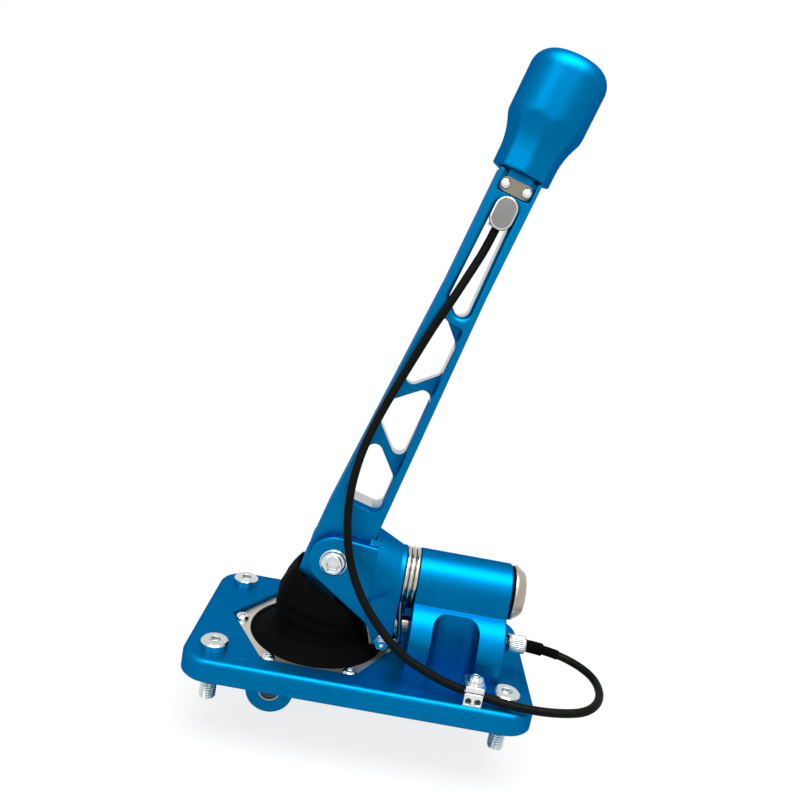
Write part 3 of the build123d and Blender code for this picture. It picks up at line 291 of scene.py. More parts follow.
# %% Write the recipe for a finish
def finish(name, shade, other, roughness, metal=1.0, fine=2400.0, slow=45.0, stretch=(1, 1, 1),
           relief=0.00003, sway=0.08, gloss=0.5, rim=(1.0, 1.0, 1.0), worn=0.0):
    """Colour = mix of shade and other by a slow noise. Roughness = its value plus or minus sway by a
    fine noise, whose height, times the relief, also tilts the surface. Gloss is the strength of the
    mirror light and rim its tint where a metal is seen edge on. Worn is the radius within which the
    direction of the surface is averaged, so that edges look rounded."""
    material = bpy.data.materials.new(name)
    material.use_nodes = True
    tree = material.node_tree
    shader = tree.nodes["Principled BSDF"]
    shader.inputs["Metallic"].default_value = metal
    shader.inputs["Specular IOR Level"].default_value = gloss
    shader.inputs["Specular Tint"].default_value = (*rim, 1)
    place = tree.nodes.new("ShaderNodeTexCoord")
    scale = tree.nodes.new("ShaderNodeMapping")
    scale.inputs["Scale"].default_value = stretch
    grain = tree.nodes.new("ShaderNodeTexNoise")
    grain.inputs["Scale"].default_value = fine
    grain.inputs["Detail"].default_value = 3.0
    drift = tree.nodes.new("ShaderNodeTexNoise")
    drift.inputs["Scale"].default_value = slow
    drift.inputs["Detail"].default_value = 2.0
    mix = tree.nodes.new("ShaderNodeMix")
    mix.data_type = "RGBA"
    mix.inputs["A"].default_value = (*shade, 1)
    mix.inputs["B"].default_value = (*other, 1)
    # A noise seldom leaves the range from 0.3 to 0.7.
    spread = tree.nodes.new("ShaderNodeMapRange")
    spread.inputs["From Min"].default_value = 0.3
    spread.inputs["From Max"].default_value = 0.7
    spread.inputs["To Min"].default_value = max(roughness - sway, 0.02)
    spread.inputs["To Max"].default_value = roughness + sway
    tilt = tree.nodes.new("ShaderNodeBump")
    tilt.inputs["Strength"].default_value = 0.35
    tilt.inputs["Distance"].default_value = relief
    link = tree.links.new
    if worn:
        rounding = tree.nodes.new("ShaderNodeBevel")
        rounding.samples = 6
        rounding.inputs["Radius"].default_value = worn
        link(rounding.outputs["Normal"], tilt.inputs["Normal"])
    link(place.outputs["Object"], scale.inputs["Vector"])
    link(scale.outputs["Vector"], grain.inputs["Vector"])
    link(place.outputs["Object"], drift.inputs["Vector"])
    link(drift.outputs["Fac"], mix.inputs["Factor"])
    link(mix.outputs["Result"], shader.inputs["Base Color"])
    link(grain.outputs["Fac"], spread.inputs["Value"])
    link(spread.outputs["Result"], shader.inputs["Roughness"])
    link(grain.outputs["Fac"], tilt.inputs["Height"])
    link(tilt.outputs["Normal"], shader.inputs["Normal"])
    return material


print("finish: a slow noise for the shade, a fine one for roughness and height")

# %% Mix the metals
blue = finish("anodised_blue", (0.0, 0.130, 0.312), (0.0, 0.157, 0.360), 0.44, sway=0.05,
              rim=(0.05, 0.40, 0.72), worn=0.0005)
bare_alloy = finish("bare_cut_alloy", (0.46, 0.46, 0.46), (0.60, 0.60, 0.59), 0.34, fine=1200.0,
                    stretch=(1, 0.08, 1))
stop_alloy = finish("ground_alloy", (0.19, 0.19, 0.19), (0.26, 0.26, 0.255), 0.32, fine=1100.0,
                    stretch=(0.1, 1, 1), relief=0.00001)
polished = finish("polished_alloy", (0.66, 0.67, 0.68), (0.76, 0.76, 0.76), 0.20, sway=0.05,
                  relief=0.00001)
chrome = finish("bright_plating", (0.56, 0.60, 0.61), (0.68, 0.71, 0.71), 0.14, sway=0.05,
                relief=0.00001)
zinc = finish("zinc_thread", (0.52, 0.60, 0.60), (0.66, 0.72, 0.71), 0.30)
beige_steel = finish("brushed_ring_steel", (0.50, 0.47, 0.40), (0.62, 0.58, 0.51), 0.40,
                     fine=900.0, stretch=(0.05, 1, 1))
turned = finish("turned_steel", (0.35, 0.31, 0.25), (0.48, 0.43, 0.36), 0.32, fine=1500.0,
                stretch=(1, 0.12, 0.12))
# A darker copy of the bare alloy: the dark is painted shade among the ridges of the thimble and the neck's
# thread.
ridge_shaded_alloy = finish("alloy_painted_ridge_shade", (0.36, 0.36, 0.36), (0.46, 0.46, 0.45), 0.26, relief=0.00001)
anchor_steel = finish("dull_anchor_steel", (0.17, 0.16, 0.12), (0.24, 0.23, 0.18), 0.42, fine=900.0)
wire_steel = finish("drawn_wire", (0.42, 0.40, 0.35), (0.56, 0.54, 0.48), 0.24, fine=1800.0,
                    stretch=(1, 0.1, 0.1))
bronze = finish("bearing_bronze", (0.42, 0.26, 0.10), (0.55, 0.36, 0.15), 0.38)
print("metals:", [m.name for m in (blue, bare_alloy, polished, chrome, turned)])

# %% Mix the dark soft finishes
rubber = finish("black_rubber", (0.0008, 0.0008, 0.0009), (0.0020, 0.0020, 0.0021), 0.75, metal=0.0,
                fine=1600.0, relief=0.00008, gloss=0.02)
cover_plastic = finish("cable_cover", (0.0014, 0.0020, 0.0014), (0.0032, 0.0040, 0.0030), 0.45,
                       metal=0.0, fine=1300.0, relief=0.00004, gloss=0.05)
dark_plastic = finish("bearing_plastic", (0.03, 0.03, 0.032), (0.06, 0.06, 0.062), 0.5, metal=0.0)
pale_collar = finish("pale_collar", (0.72, 0.72, 0.70), (0.80, 0.80, 0.78), 0.45, metal=0.0)
for cover in (cover_loop, cover_rise, cover_upper):
    cover.data.materials.append(cover_plastic)
print("soft finishes:", [m.name for m in (rubber, cover_plastic, dark_plastic, pale_collar)])

# %% [markdown]
# ## Dressing a solid
# A solid arrives as loose triangles with knife-sharp edges. No real edge is that sharp: a tumbled or
# blasted part has an edge of a few tenths of a millimetre, and that thin line catches the light. So
# a copy is welded, its flat areas are joined into single faces, and a narrow bevel rounds each edge.
# A copy can also be cut along a plane, where one finish ends on a face and another starts.

# %% Weld a copy of a solid
same_place = 4e-6
flat_within = np.radians(0.05)


def welded(node):
    """A copy of a node's triangles: corners in one place are joined, flat areas become one face, and
    a face that then has more than four corners is cut into triangles again."""
    source = nodes[node].data
    points = np.empty(len(source.vertices) * 3)
    source.vertices.foreach_get("co", points)
    corners = np.empty(len(source.loops), dtype=int)
    source.loops.foreach_get("vertex_index", corners)
    mesh = bpy.data.meshes.new(f"{node}_dressed")
    mesh.from_pydata(points.reshape(-1, 3).tolist(), [], corners.reshape(-1, 3).tolist())
    form = bmesh.new()
    form.from_mesh(mesh)
    bmesh.ops.remove_doubles(form, verts=form.verts, dist=same_place)
    bmesh.ops.dissolve_limit(form, angle_limit=flat_within, verts=form.verts, edges=form.edges)
    bmesh.ops.triangulate(form, faces=[face for face in form.faces if len(face.verts) > 4])
    form.to_mesh(mesh)
    form.free()
    return mesh


def cut_along(mesh, places, direction):
    """Cut a mesh's faces in two where they cross a plane square to the direction at each place."""
    form = bmesh.new()
    form.from_mesh(mesh)
    for place in places:
        bmesh.ops.bisect_plane(form, geom=form.verts[:] + form.edges[:] + form.faces[:],
                               plane_co=place, plane_no=direction, dist=1e-6)
    form.to_mesh(mesh)
    form.free()


print("welded: corners within", same_place * 1e6, "thousandths of a millimetre are joined")

# %% Put a dressed copy in the solid's place
crease_angle, bevel_angle = np.radians(28), np.radians(30)


def dress(node, material, second=None, width=0.0, mesh=None):
    """Put the welded copy in the node's place, smooth but for its creases. A width bevels each edge.
    The second finish is the bevel's, or with no bevel it waits for the faces that are given it."""
    mesh = mesh or welded(node)
    mesh.materials.append(material)
    mesh.shade_smooth()
    mesh.set_sharp_from_angle(angle=crease_angle)
    piece = bpy.data.objects.new(f"{node}_dressed", mesh)
    bpy.context.scene.collection.objects.link(piece)
    if second:
        mesh.materials.append(second)
    if width:
        bevel = piece.modifiers.new("edge", "BEVEL")
        bevel.width, bevel.segments = width, 2
        bevel.limit_method, bevel.angle_limit = "ANGLE", bevel_angle
        bevel.use_clamp_overlap = False
        bevel.material = 1 if second else -1
        flats = piece.modifiers.new("flats", "WEIGHTED_NORMAL")
        flats.keep_sharp = True
    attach(piece, body_of(nodes[node])[0])
    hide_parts(node)
    return piece


print("dress: creases from", round(np.degrees(crease_angle)), "degrees")

# %% [markdown]
# ## The big blue pieces
# The plate, the barrel's housing and the pivot head are milled from thick stock, blasted and then
# anodised. Their broad curved faces would shade unevenly next to a bevel, so they keep their own
# faces. The blue finish rounds their edges instead: it averages the direction of the surface over
# half a millimetre, which the light reads as a worn edge.

# %% Give the big pieces their blue
blue_solids = ["base_plate", "barrel_housing", "pivot_head", "knob_bush"]
for node in blue_solids:
    nodes[node].data.materials.clear()
    nodes[node].data.materials.append(blue)
print("blue pieces:", blue_solids)

# %% [markdown]
# ## The lever
# The lever is anodised before some of its openings are cut, so the walls of its windows and of the
# long slot are bare silver. The finish is chosen face by face: a wall's normal lies across the
# lever, and the wall stands inside the flanges. The long slot was cut from the back only as far as
# the web, so the copy is first parted along a plane in front of it.

# %% Set the lever's own directions
lean = np.radians(15.1)
pivot = np.array([-0.0221, 0.0, 0.0550]) + collar
lever_up = np.array([np.sin(lean), 0.0, np.cos(lean)])
lever_across = np.array([np.cos(lean), 0.0, -np.sin(lean)])
print("the lever points along", np.round(lever_up, 3).tolist())

# %% Dress the lever
slot_front = -0.0030
lever_mesh = welded("lever_arm")
cut_along(lever_mesh, [(0, slot_front, 0)], (0, 1, 0))
lever = dress("lever_arm", blue, bare_alloy, mesh=lever_mesh)
print("lever:", len(lever_mesh.polygons), "faces")

# %% Bare the lever's cut walls
# Feet and tops are heights up the lever from its pivot, and fronts are measured from its middle.
taper_heights, taper_half_widths = [0.020, 0.145], [0.0141, 0.0102]
flange_depth, most_turned = 0.0026, 0.3
window_foot, window_top, window_front = 0.0275, 0.1360, 0.0024
slot_foot, slot_top = 0.1265, 0.1885
centres = np.empty(len(lever_mesh.polygons) * 3)
normals = np.empty_like(centres)
lever_mesh.polygons.foreach_get("center", centres)
lever_mesh.polygons.foreach_get("normal", normals)
centres, normals = centres.reshape(-1, 3), normals.reshape(-1, 3)
up_lever = (centres - pivot) @ lever_up
across_lever = (centres - pivot) @ lever_across
half_width = np.interp(up_lever, taper_heights, taper_half_widths)
wall = (np.abs(normals[:, 1]) < most_turned) & (np.abs(across_lever) < half_width - flange_depth)
in_window = (up_lever > window_foot) & (up_lever < window_top) & (centres[:, 1] > window_front)
in_slot = (up_lever > slot_foot) & (up_lever < slot_top) & (centres[:, 1] > slot_front)
bare = wall & (in_window | in_slot)
lever_mesh.polygons.foreach_set("material_index", np.where(bare, 1, 0))
print("lever:", int(bare.sum()), "bare wall faces of", len(bare))

# %% [markdown]
# ## The knob
# The knob is turned round and then milled to eight hollow facets below its middle. Blasting softens
# the facets' edges, so they fade into the round part. A surface in two parameters gives that softness:
# at each height and angle the radius is a soft minimum of the turned radius and the facets' distances.
# The same rows go on over the crown, and under the foot into the bore for the post.

# %% Turn the knob
# Heights run up the lever from its pivot.
foot_height, top_height, dome_rise = 0.2016, 0.2576, 0.0014
round_radius, shoulder_round = 0.01825, 0.0090
crown_half = round_radius - shoulder_round
side_top = top_height - dome_rise - shoulder_round
side_rows, shoulder_rows, crown_rows, crown_end = 90, 26, 12, 0.04
corner = np.linspace(0, np.pi / 2, shoulder_rows)
crown = np.linspace(1, crown_end, crown_rows)[1:] * crown_half
side = np.linspace(foot_height, side_top, side_rows)
shoulder_radius = crown_half + shoulder_round * np.cos(corner)
shoulder_height = side_top + shoulder_round * np.sin(corner)
crown_height = top_height - dome_rise * (crown / crown_half) ** 2
height = np.concatenate([side, shoulder_height[1:], crown_height])
turned_radius = np.concatenate([np.full(side_rows, round_radius), shoulder_radius[1:], crown])
print("knob:", len(height), "rows from", foot_height, "to", round(height.max(), 4))

# %% Mill the facets
# A facet is flat up to where the hollow starts. From there it curves out: its distance from the axis
# grows by the hollow's radius less the root of that radius squared less the rise squared.
facets, knob_columns = 8, 240
flat_distance, hollow_start, hollow_radius = 0.0133, 0.2085, 0.0360
half_facets = facets / 2
facet_turn = 2 * np.pi / facets
around = 2 * np.pi * np.arange(knob_columns) / knob_columns
rise = np.clip(height - hollow_start, 0, hollow_radius * 0.999)
facet = flat_distance + hollow_radius - np.sqrt(hollow_radius**2 - rise**2)
facing = np.abs((around * half_facets / np.pi % 1.0) - 0.5) * facet_turn
limits = np.stack([
    np.broadcast_to(turned_radius[:, None], (len(height), knob_columns)),
    facet[:, None] / np.cos(facing),
    facet[:, None] / np.cos(facet_turn - facing),
])
print("facets:", facets, "their foot is", flat_distance, "from the axis")


# %% Blast the facets' edges soft
def soft_minimum(values, sharpness=46.0):
    """The sum of the values to a large negative power, taken back by one over that power."""
    least = values.min(axis=0)
    return least * ((values / least) ** -sharpness).sum(axis=0) ** (-1 / sharpness)


knob_radii = soft_minimum(limits)
print("knob: radius from", round(knob_radii[:side_rows].min(), 5), "to", round(knob_radii.max(), 5))

# %% Round the knob's foot and bore it
foot_round, bore_radius, bore_end = 0.0005, 0.0102, 0.2480
lift = np.clip(foot_round - (height - foot_height), 0, foot_round)[:, None]
knob_radii = knob_radii - (foot_round - np.sqrt(foot_round**2 - lift**2))
knob_radii = np.vstack([np.full((2, knob_columns), bore_radius), knob_radii])
height = np.concatenate([[bore_end, foot_height], height])
knob_points = (pivot + height[:, None, None] * lever_up
               + knob_radii[..., None] * (np.cos(around)[:, None] * lever_across
                                          + np.sin(around)[:, None] * np.array([0.0, 1.0, 0.0])))
knob = skin("milled_knob", knob_points)
knob.data.materials.append(blue)
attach(knob, body_of(nodes["knob"])[0])
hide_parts("knob")
print("knob: surface", np.round([knob_points.min((0, 1)), knob_points.max((0, 1))], 4).tolist())

# %% [markdown]
# ## The small pieces
# The boot's ring is brushed steel, the end cap is turned, and the screws are plated and bright. The
# cable's stop is ground on its face; its rounded edge catches real light, and the bright polished
# finish laid on that edge is a painted highlight. Each gets a bevel as wide as its real edge, a tenth
# of a millimetre on a screw and two or three tenths on a block. The pieces that the others hide keep
# their own faces and only get a finish.

# %% Dress the steel, alloy and bright pieces
# Each entry: the finish and the width of its bevel
small_pieces = {
    "boot_ring": (beige_steel, 0.00012), "boot_retainer": (beige_steel, 0.00015),
    "end_cap": (turned, 0.00020), "cable_clamp": (polished, 0.00020),
    "cable_stop": (stop_alloy, 0.00030), "clamp_washer": (polished, 0.00008),
    "clamp_screw": (chrome, 0.00010), "ring_screws": (chrome, 0.00008),
    "pivot_pin": (chrome, 0.00012), "pivot_nut": (turned, 0.00020),
    "stop_screws": (chrome, 0.00008), "stop_nuts": (chrome, 0.00015),
    "anchor_screws": (chrome, 0.00008), "anchor_plate": (anchor_steel, 0.00010),
    "clamp_grubs": (dark_plastic, 0.0), "barrel_seal": (rubber, 0.00010),
    "eye_sleeve": (turned, 0.0), "housing_screws": (turned, 0.00010),
    "screw_retainers": (pale_collar, 0.00010), "inner_wire": (wire_steel, 0.0),
    "lockout_pin": (turned, 0.00010),
}
for node, (material, width) in small_pieces.items():
    # The cable's stop gets the bright polished finish on its bevel, a painted highlight along its rim.
    painted_highlight_edge = polished if node == "cable_stop" else None
    dress(node, material, painted_highlight_edge, width)
print("dressed:", len(small_pieces))

# %% Finish the pieces inside
hidden = {"main_shaft": turned, "lever_bush": bronze, "front_bush": bronze, "rear_bush": bronze,
          "eye_bush": dark_plastic, "spring_spool": dark_plastic, "post_retainer": turned,
          "knob_spring": wire_steel, "lockout_spring": wire_steel}
for node, material in hidden.items():
    nodes[node].data.materials.clear()
    nodes[node].data.materials.append(material)
print("inside:", len(hidden))

# %% [markdown]
# ## Threads
# A screw's thread is a ridge that climbs as it goes round. On a grid of turns and heights it is one
# formula: the radius drops from the crest by a share of the depth, and that share is a triangle wave
# of height over pitch less the turn. Near its start the wave fades, as a cut thread runs out, and the
# tip is chamfered. The shank of the solid screw is cut below the plate and drawn in, so that the ridge
# stands around it.


# %% Work out a thread
rows_per_pitch, thread_columns = 10, 40


def thread(name, foot, direction, length, radius, pitch, depth, tip=0.0006):
    """Radius = crest less depth times a triangle wave of (height / pitch - turn); the last tip of the
    height is chamfered, with the radius falling as the end comes nearer."""
    height = np.linspace(0.0, length, int(length / pitch * rows_per_pitch))
    turn = np.arange(thread_columns) / thread_columns
    line = np.array(foot) + height[:, None] * np.array(direction)
    wave = np.abs(((height[:, None] / pitch - turn) % 1.0) * 2 - 1)
    fade = np.clip(height / pitch, 0, 1)[:, None]
    reach = radius - depth * wave * fade - np.clip(tip - (length - height), 0, None)[:, None]
    return skin(name, tube(line, reach, thread_columns, across=(0, 1, 0)))


print("thread:", rows_per_pitch, "rows in each pitch")

# %% Draw in the shanks of the mounting screws
screw_x, screw_y = 0.070, 0.035
ridge_height, shoulder_height, between_height, end_height = -0.0010, -0.0011, -0.00105, -0.010
shank_share, end_lift = 0.80, 0.0004
shank = welded("mount_screws")
cut_along(shank, [(0, 0, height + collar[2]) for height in (ridge_height, shoulder_height)], (0, 0, 1))
points = np.empty(len(shank.vertices) * 3)
shank.vertices.foreach_get("co", points)
points = points.reshape(-1, 3)
axis = np.column_stack([np.sign(points[:, 0]) * screw_x, np.sign(points[:, 1]) * screw_y])
below = points[:, 2] < collar[2] + between_height
points[below, :2] = axis[below] + (points[below, :2] - axis[below]) * shank_share
points[below & (points[:, 2] < collar[2] + end_height), 2] += end_lift
shank.vertices.foreach_set("co", points.ravel())
dress("mount_screws", chrome, None, 0.00012, mesh=shank)
print("shanks:", int(below.sum()), "points drawn in")

# %% Cut threads on the mounting screws and the adjuster's neck
screw_places = [(-screw_x, -screw_y), (screw_x, -screw_y), (-screw_x, screw_y), (screw_x, screw_y)]
for number, (x, y) in enumerate(screw_places):
    ridge = thread(f"mount_thread_{number}", np.array([x, y, ridge_height]) + collar, (0, 0, -1),
                   length=0.0140, radius=0.00395, pitch=0.00125, depth=0.00062)
    ridge.data.materials.append(zinc)
    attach(ridge, "base")
neck = thread("neck_thread", np.array([0.0600, 0, 0.0215]) + collar, (1, 0, 0),
              length=0.0126, radius=0.0024, pitch=0.0008, depth=0.00040, tip=0.0)
# The neck's thread gets the darker alloy, with painted shade among its ridges.
neck.data.materials.append(ridge_shaded_alloy)
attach(neck, "base")
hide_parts("adjuster_neck")
print("threads:", len(screw_places), "screws and the adjuster's neck")

# %% [markdown]
# ## The adjuster's thimble and the shrunk sleeve
# The thimble is turned by hand, so its barrel has straight knurls: ridges along it, between a plain
# rim at each end. Behind it a black sleeve is shrunk over the cable in two steps. It thins where it
# leaves the thimble and again a little further on, and its skin has slight rings where it shrank.

# %% Knurl the thimble
knurls, points_per_knurl, knurl_depth = 26, 8, 0.00032
# Row by row along the thimble: the distance, the radius and the share of the knurls' depth
along = np.array([0.0, 0.0004, 0.0011, 0.0013, 0.0020, 0.0050, 0.0080, 0.0084, 0.0090, 0.0094])
barrel = np.array([4.15, 4.55, 4.55, 4.30, 4.55, 4.55, 4.55, 4.55, 4.45, 4.05]) / 1000
ridge_share = np.array([0, 0, 0, 0, 1, 1, 1, 0.6, 0, 0])
turn = np.arange(knurls * points_per_knurl) / (knurls * points_per_knurl)
notch = np.abs((turn * knurls % 1.0) * 2 - 1) ** 2 * knurl_depth
reach = barrel[:, None] - ridge_share[:, None] * notch
line = np.array([0.0726, 0.0, 0.0215]) + collar + along[:, None] * np.array([1.0, 0.0, 0.0])
thimble = skin("thimble", tube(line, reach, len(turn)))
# The thimble gets the darker alloy, with painted shade among its knurls; the knurls themselves are real
# ridges.
thimble.data.materials.append(ridge_shaded_alloy)
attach(thimble, "base")
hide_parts("adjuster_thimble")
print("thimble:", knurls, "knurls")

# %% Shrink the sleeve over the cable
sleeve_length, sleeve_rows = 0.0175, 120
ring_depth, ring_pitch, rings_end = 0.00007, 0.0016, 0.0092
run = np.concatenate([[0], np.cumsum(steps_along(loop_line))])
step = np.linspace(0.0, sleeve_length, sleeve_rows)
sleeve_line = np.column_stack([np.interp(step, run, loop_line[:, k]) for k in range(3)])
rings = ring_depth * np.sin(step * 2 * np.pi / ring_pitch) * (step < rings_end)
sleeve_radius = np.interp(step, [0, 0.0086, 0.0094, 0.0168, sleeve_length],
                          [0.00315, 0.00322, 0.00240, 0.00240, 0.00205]) + rings
sleeve = skin("shrunk_sleeve", tube(sleeve_line, sleeve_radius, columns=32))
sleeve.data.materials.append(rubber)
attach(sleeve, "base")
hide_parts("cable_sleeve")
print("sleeve:", round(sleeve_radius.max() * 1000, 2), "mm at its thickest")

# %% [markdown]
# ## The centring spring
# Three tight coils of drawn wire lie round the spool between the head and the barrel. The wire's two
# ends turn down beside the tongues of the head and of the housing, and so bring the lever back to the
# middle. The wire runs flat for most of a turn and steps over to the next coil at the bottom, out of
# sight. Its line is worked out from the angle, the sharp corners are smoothed by averaging each point
# with its neighbours, and the tube follows it.

# %% Wind the coils
coils, coil_radius, coil_pitch, first_coil = 3, 0.0130, 0.00245, 0.01430
barrel_height, leg_offset, coil_rows = 0.0490, 0.00635, 700
leg_turn = np.arcsin(leg_offset / coil_radius)
angle = np.linspace(leg_turn, 2 * coils * np.pi - leg_turn, coil_rows)
lap = angle / (2 * np.pi)
crossing = 0.5 + (((lap + 0.5) % 1.0) - 0.5) * np.pi / leg_turn
shift = np.clip(np.floor(lap + 0.5) - 1 + np.clip(crossing, 0, 1), 0, coils - 1)
coil = np.column_stack([
    first_coil + coil_pitch * shift, -coil_radius * np.sin(angle), -coil_radius * np.cos(angle),
])
coil[:, 2] += barrel_height
print("coils:", coils, "each", round(coil_radius * 2000, 1), "mm across")

# %% Bend the legs and join them to the coils
leg_foot, ease_from, leg_rows = 0.0145, 0.0165, 60
leg_rise = np.linspace(leg_foot, coil[0, 2], leg_rows)[:-1]
ease = np.clip((leg_rise - ease_from) / (coil[0, 2] - ease_from), 0, 1)
ease = ease * ease * (3 - 2 * ease)
middle_coil, level_row = first_coil + coil_pitch, np.ones(len(leg_rise))
first_leg = np.column_stack([middle_coil - coil_pitch * ease, coil[0, 1] * level_row, leg_rise])
last_leg = np.column_stack([middle_coil + coil_pitch * ease, coil[-1, 1] * level_row, leg_rise])[::-1]


def smoothed(values, times):
    """Each value inside becomes half of itself and a quarter of each neighbour, so many times."""
    values = values.copy()
    for _ in range(times):
        values[1:-1] = 0.25 * values[:-2] + 0.5 * values[1:-1] + 0.25 * values[2:]
    return values


wire_line = smoothed(np.vstack([first_leg, coil, last_leg]) + collar, times=14)
print("spring:", round(steps_along(wire_line).sum() * 1000), "mm of wire")

# %% Draw the wire and hang it between the bodies
wire_radius = 0.00118
spring = skin("centring_spring_wire", tube(wire_line, wire_radius, columns=16, across=(1, 0, 0)))
spring.data.materials.append(wire_steel)
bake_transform(spring, "base", "head", start=tuple(np.array([0.0205, 0, 0.049]) + collar),
         end=tuple(np.array([0.0130, 0, 0.049]) + collar))
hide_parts("centring_spring")
print("spring:", len(spring.data.polygons), "faces")

# %% [markdown]
# ## The boot
# A moulded rubber bag keeps dirt out of the opening round the lever's foot. Its flange lies under the
# steel ring; a skirt rises from it, and the bag leans towards the head and ends in a slanted mouth.
# Each section is a rounded shape in a tilted plane: the point at an angle lies where the share of the
# half length to a power and the share of the half width to that power add up to one. The sections'
# places, tilts, sizes and powers are read off a short table and eased between its rows, and shallow
# folds pull the wall in.

# %% Read the boot's sections off a table
# Each row: height share, middle x, middle z, tilt, half length, half width, power of the section
boot_rows = np.array([
    [0.00, -0.0246, 0.0070, 0.0, 0.0338, 0.0338, 2.0],
    [0.03, -0.0246, 0.0073, 0.0, 0.0330, 0.0330, 2.0],
    [0.10, -0.0246, 0.0090, 0.0, 0.0312, 0.0312, 2.0],
    [0.20, -0.0246, 0.0108, 0.0, 0.0268, 0.0268, 2.0],
    [0.30, -0.0246, 0.0134, 0.0, 0.0236, 0.0236, 2.0],
    [0.50, -0.0250, 0.0215, 6.0, 0.0232, 0.0229, 2.1],
    [0.72, -0.0254, 0.0290, 12.0, 0.0227, 0.0219, 2.3],
    [0.88, -0.0240, 0.0340, 21.0, 0.0212, 0.0186, 3.0],
    [1.00, -0.0228, 0.0374, 28.0, 0.0196, 0.0154, 4.2],
])
boot_levels = 72
share = np.linspace(0, 1, boot_levels)
middle_x, middle_z, tilt, half_length, half_breadth, power = (
    smoothed(np.interp(share, boot_rows[:, 0], boot_rows[:, k]), times=8) for k in range(1, 7))
print("boot:", boot_levels, "sections")

# %% Shape the boot's wall
boot_columns = 96
fold_depth, folds, folds_from, folds_over = 0.00045, 3, 0.34, 0.5
uneven, waves_round, first_wave = 0.35, 3, 1.1
fold_wave = np.cos(2 * np.pi * folds * np.clip((share - folds_from) / folds_over, 0, 1))
fold = fold_depth * (0.5 - 0.5 * fold_wave)
angle = 2 * np.pi * np.arange(boot_columns) / boot_columns
size = (np.abs(np.cos(angle)) ** power[:, None] + np.abs(np.sin(angle)) ** power[:, None])
size = size ** (-1 / power[:, None])
slack = fold[:, None] * (1 + uneven * np.sin(waves_round * angle + first_wave))
length_way = (half_length[:, None] - slack) * size * np.cos(angle)
breadth_way = (half_breadth[:, None] - slack) * size * np.sin(angle)
tilt = np.radians(tilt)[:, None]
boot_points = np.stack([
    middle_x[:, None] + length_way * np.cos(tilt),
    breadth_way,
    middle_z[:, None] - length_way * np.sin(tilt),
], axis=-1) + collar
print("boot: mouth at", np.round(boot_points[-1].mean(0), 4).tolist())

# %% Give the boot its wall and hang it between the bodies
rubber_thickness = 0.0013
boot = skin("boot_bag", boot_points, closed=False)
wall = boot.modifiers.new("wall", "SOLIDIFY")
wall.thickness, wall.offset = rubber_thickness, -1.0
boot.data.materials.append(rubber)
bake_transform(boot, "base", "head", start=tuple(np.array([-0.0246, 0, 0.0120]) + collar),
         end=tuple(np.array([-0.0228, 0, 0.0370]) + collar))
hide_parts("boot")
print("boot:", len(boot.data.polygons), "faces")

# %% [markdown]
# ## Floor, light and air
# The photograph is a plain studio picture: white all round, a large soft lamp overhead and a little
# in front, a tall narrow one at the left and a faint one in front. Metal shows what is around it, so
# the room matters as much as the lamps: it is white all round and a little darker overhead. Matt
# surfaces get a dimmer share of the room, so that the lamps still shape them. The floor is a plain
# pale sheet that the camera sees as white, but for the part's soft shadow.


# %% Tell which rays see a thing directly
def seen_directly(tree):
    """The largest of three marks: one where the ray comes from the camera, from a mirror-like surface
    or through glass, and zero elsewhere."""
    path = tree.nodes.new("ShaderNodeLightPath")
    first, second = (tree.nodes.new("ShaderNodeMath") for _ in range(2))
    first.operation = second.operation = "MAXIMUM"
    tree.links.new(path.outputs["Is Camera Ray"], first.inputs[0])
    tree.links.new(path.outputs["Is Glossy Ray"], first.inputs[1])
    tree.links.new(first.outputs[0], second.inputs[0])
    tree.links.new(path.outputs["Is Transmission Ray"], second.inputs[1])
    return second.outputs[0]


print("the camera, polished metal and glass see the white room")

# %% Lay the floor
floor_gap, floor_reach = 0.0005, 6.0
floor_height = cad_box[0][2] - floor_gap
floor_mesh = bpy.data.meshes.new("floor")
floor_corners = [(x * floor_reach, y * floor_reach, floor_height)
                 for x, y in ((-1, -1), (1, -1), (1, 1), (-1, 1))]
floor_mesh.from_pydata(floor_corners, [], [(0, 1, 2, 3)])
floor = bpy.data.objects.new("floor", floor_mesh)
bpy.context.scene.collection.objects.link(floor)
print("floor at", round(floor_height, 4))

# %% Make the floor a sheet of white paper
# The sheet is whiter the further it lies from the part, so that its far end has no edge.
paper = bpy.data.materials.new("white_sheet")
paper.use_nodes = True
tree = paper.node_tree
tree.nodes.remove(tree.nodes["Principled BSDF"])
matt = tree.nodes.new("ShaderNodeBsdfDiffuse")
matt.inputs["Color"].default_value = (0.8, 0.8, 0.8, 1)
white = tree.nodes.new("ShaderNodeEmission")
place = tree.nodes.new("ShaderNodeTexCoord")
distance = tree.nodes.new("ShaderNodeVectorMath")
distance.operation = "LENGTH"
fade = tree.nodes.new("ShaderNodeMapRange")
fade.inputs["From Min"].default_value, fade.inputs["From Max"].default_value = 0.12, 0.55
fade.inputs["To Min"].default_value, fade.inputs["To Max"].default_value = 0.80, 1.0
how_white = tree.nodes.new("ShaderNodeMath")
how_white.operation = "MULTIPLY"
mixed = tree.nodes.new("ShaderNodeMixShader")
tree.links.new(place.outputs["Object"], distance.inputs[0])
tree.links.new(distance.outputs["Value"], fade.inputs["Value"])
tree.links.new(fade.outputs["Result"], how_white.inputs[0])
tree.links.new(seen_directly(tree), how_white.inputs[1])
tree.links.new(how_white.outputs[0], mixed.inputs["Fac"])
tree.links.new(matt.outputs[0], mixed.inputs[1])
tree.links.new(white.outputs[0], mixed.inputs[2])
tree.links.new(mixed.outputs[0], tree.nodes["Material Output"].inputs["Surface"])
floor_mesh.materials.append(paper)
print("sheet:", len(tree.nodes), "nodes")

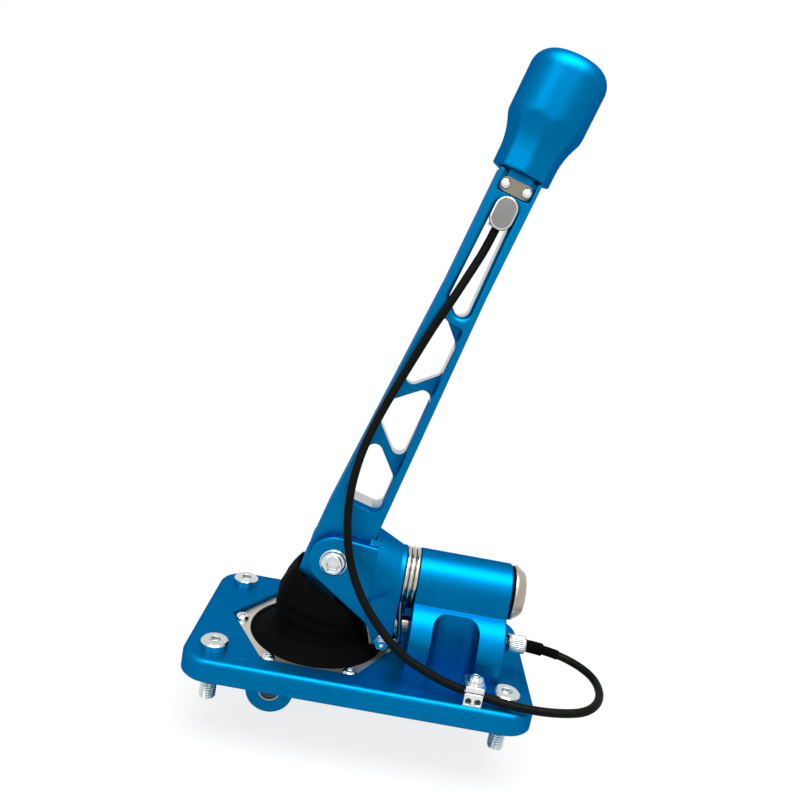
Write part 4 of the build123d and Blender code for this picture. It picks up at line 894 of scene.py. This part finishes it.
# %% Fill the room with light
matt_strength = 0.55
world = bpy.data.worlds.new("studio")
bpy.context.scene.world = world
world.use_nodes = True
tree = world.node_tree
way = tree.nodes.new("ShaderNodeTexCoord")
split = tree.nodes.new("ShaderNodeSeparateXYZ")
high_up = tree.nodes.new("ShaderNodeMapRange")
high_up.interpolation_type = "SMOOTHSTEP"
high_up.inputs["From Min"].default_value, high_up.inputs["From Max"].default_value = 0.30, 0.68
high_up.inputs["To Min"].default_value, high_up.inputs["To Max"].default_value = 1.0, 0.92
choose = tree.nodes.new("ShaderNodeMix")
air = tree.nodes["Background"]
air.inputs["Color"].default_value = (1, 1, 1, 1)
tree.links.new(way.outputs["Generated"], split.inputs[0])
tree.links.new(split.outputs["Z"], high_up.inputs["Value"])
tree.links.new(seen_directly(tree), choose.inputs["Factor"])
choose.inputs["A"].default_value = matt_strength
tree.links.new(high_up.outputs["Result"], choose.inputs["B"])
tree.links.new(choose.outputs["Result"], air.inputs["Strength"])
print("room: strength", matt_strength, "on matt surfaces")


# %% Hang the lamps
def soft_lamp(name, place, aim, size, brightness):
    """An oblong lamp that faces a point. Its power is brightness times pi times its area, so the lamp
    looks that bright wherever it stands."""
    lamp = bpy.data.lights.new(name, "AREA")
    lamp.shape, lamp.size, lamp.size_y = "RECTANGLE", *size
    lamp.energy = brightness * np.pi * size[0] * size[1]
    stand = bpy.data.objects.new(name, lamp)
    bpy.context.scene.collection.objects.link(stand)
    back = np.array(place) - np.array(aim)
    back /= np.linalg.norm(back)
    looks_down = abs(back[2]) > 0.9
    side = np.cross((0, 1, 0) if looks_down else (0, 0, 1), back)
    side /= np.linalg.norm(side)
    stand.matrix_world = Matrix(np.vstack([
        np.column_stack([side, np.cross(back, side), back, place]), [0, 0, 0, 1],
    ]).tolist())


soft_lamp("lamp_overhead", place=(0.05, -0.32, 0.95), aim=(0.02, 0, 0.06), size=(0.90, 0.62),
          brightness=9.0)
soft_lamp("lamp_left", place=(-0.62, -0.72, 0.62), aim=(0.04, 0, 0.20), size=(0.26, 0.70),
          brightness=3.2)
soft_lamp("lamp_front", place=(0.25, -1.00, 0.55), aim=(0, 0, 0.10), size=(0.60, 0.45),
          brightness=1.2)
bpy.context.scene.view_settings.view_transform = "Standard"
print("lamps: overhead, left and front")

# %% Print the box of the solids
print("box of the solids:", np.round(cad_box, 4).tolist())
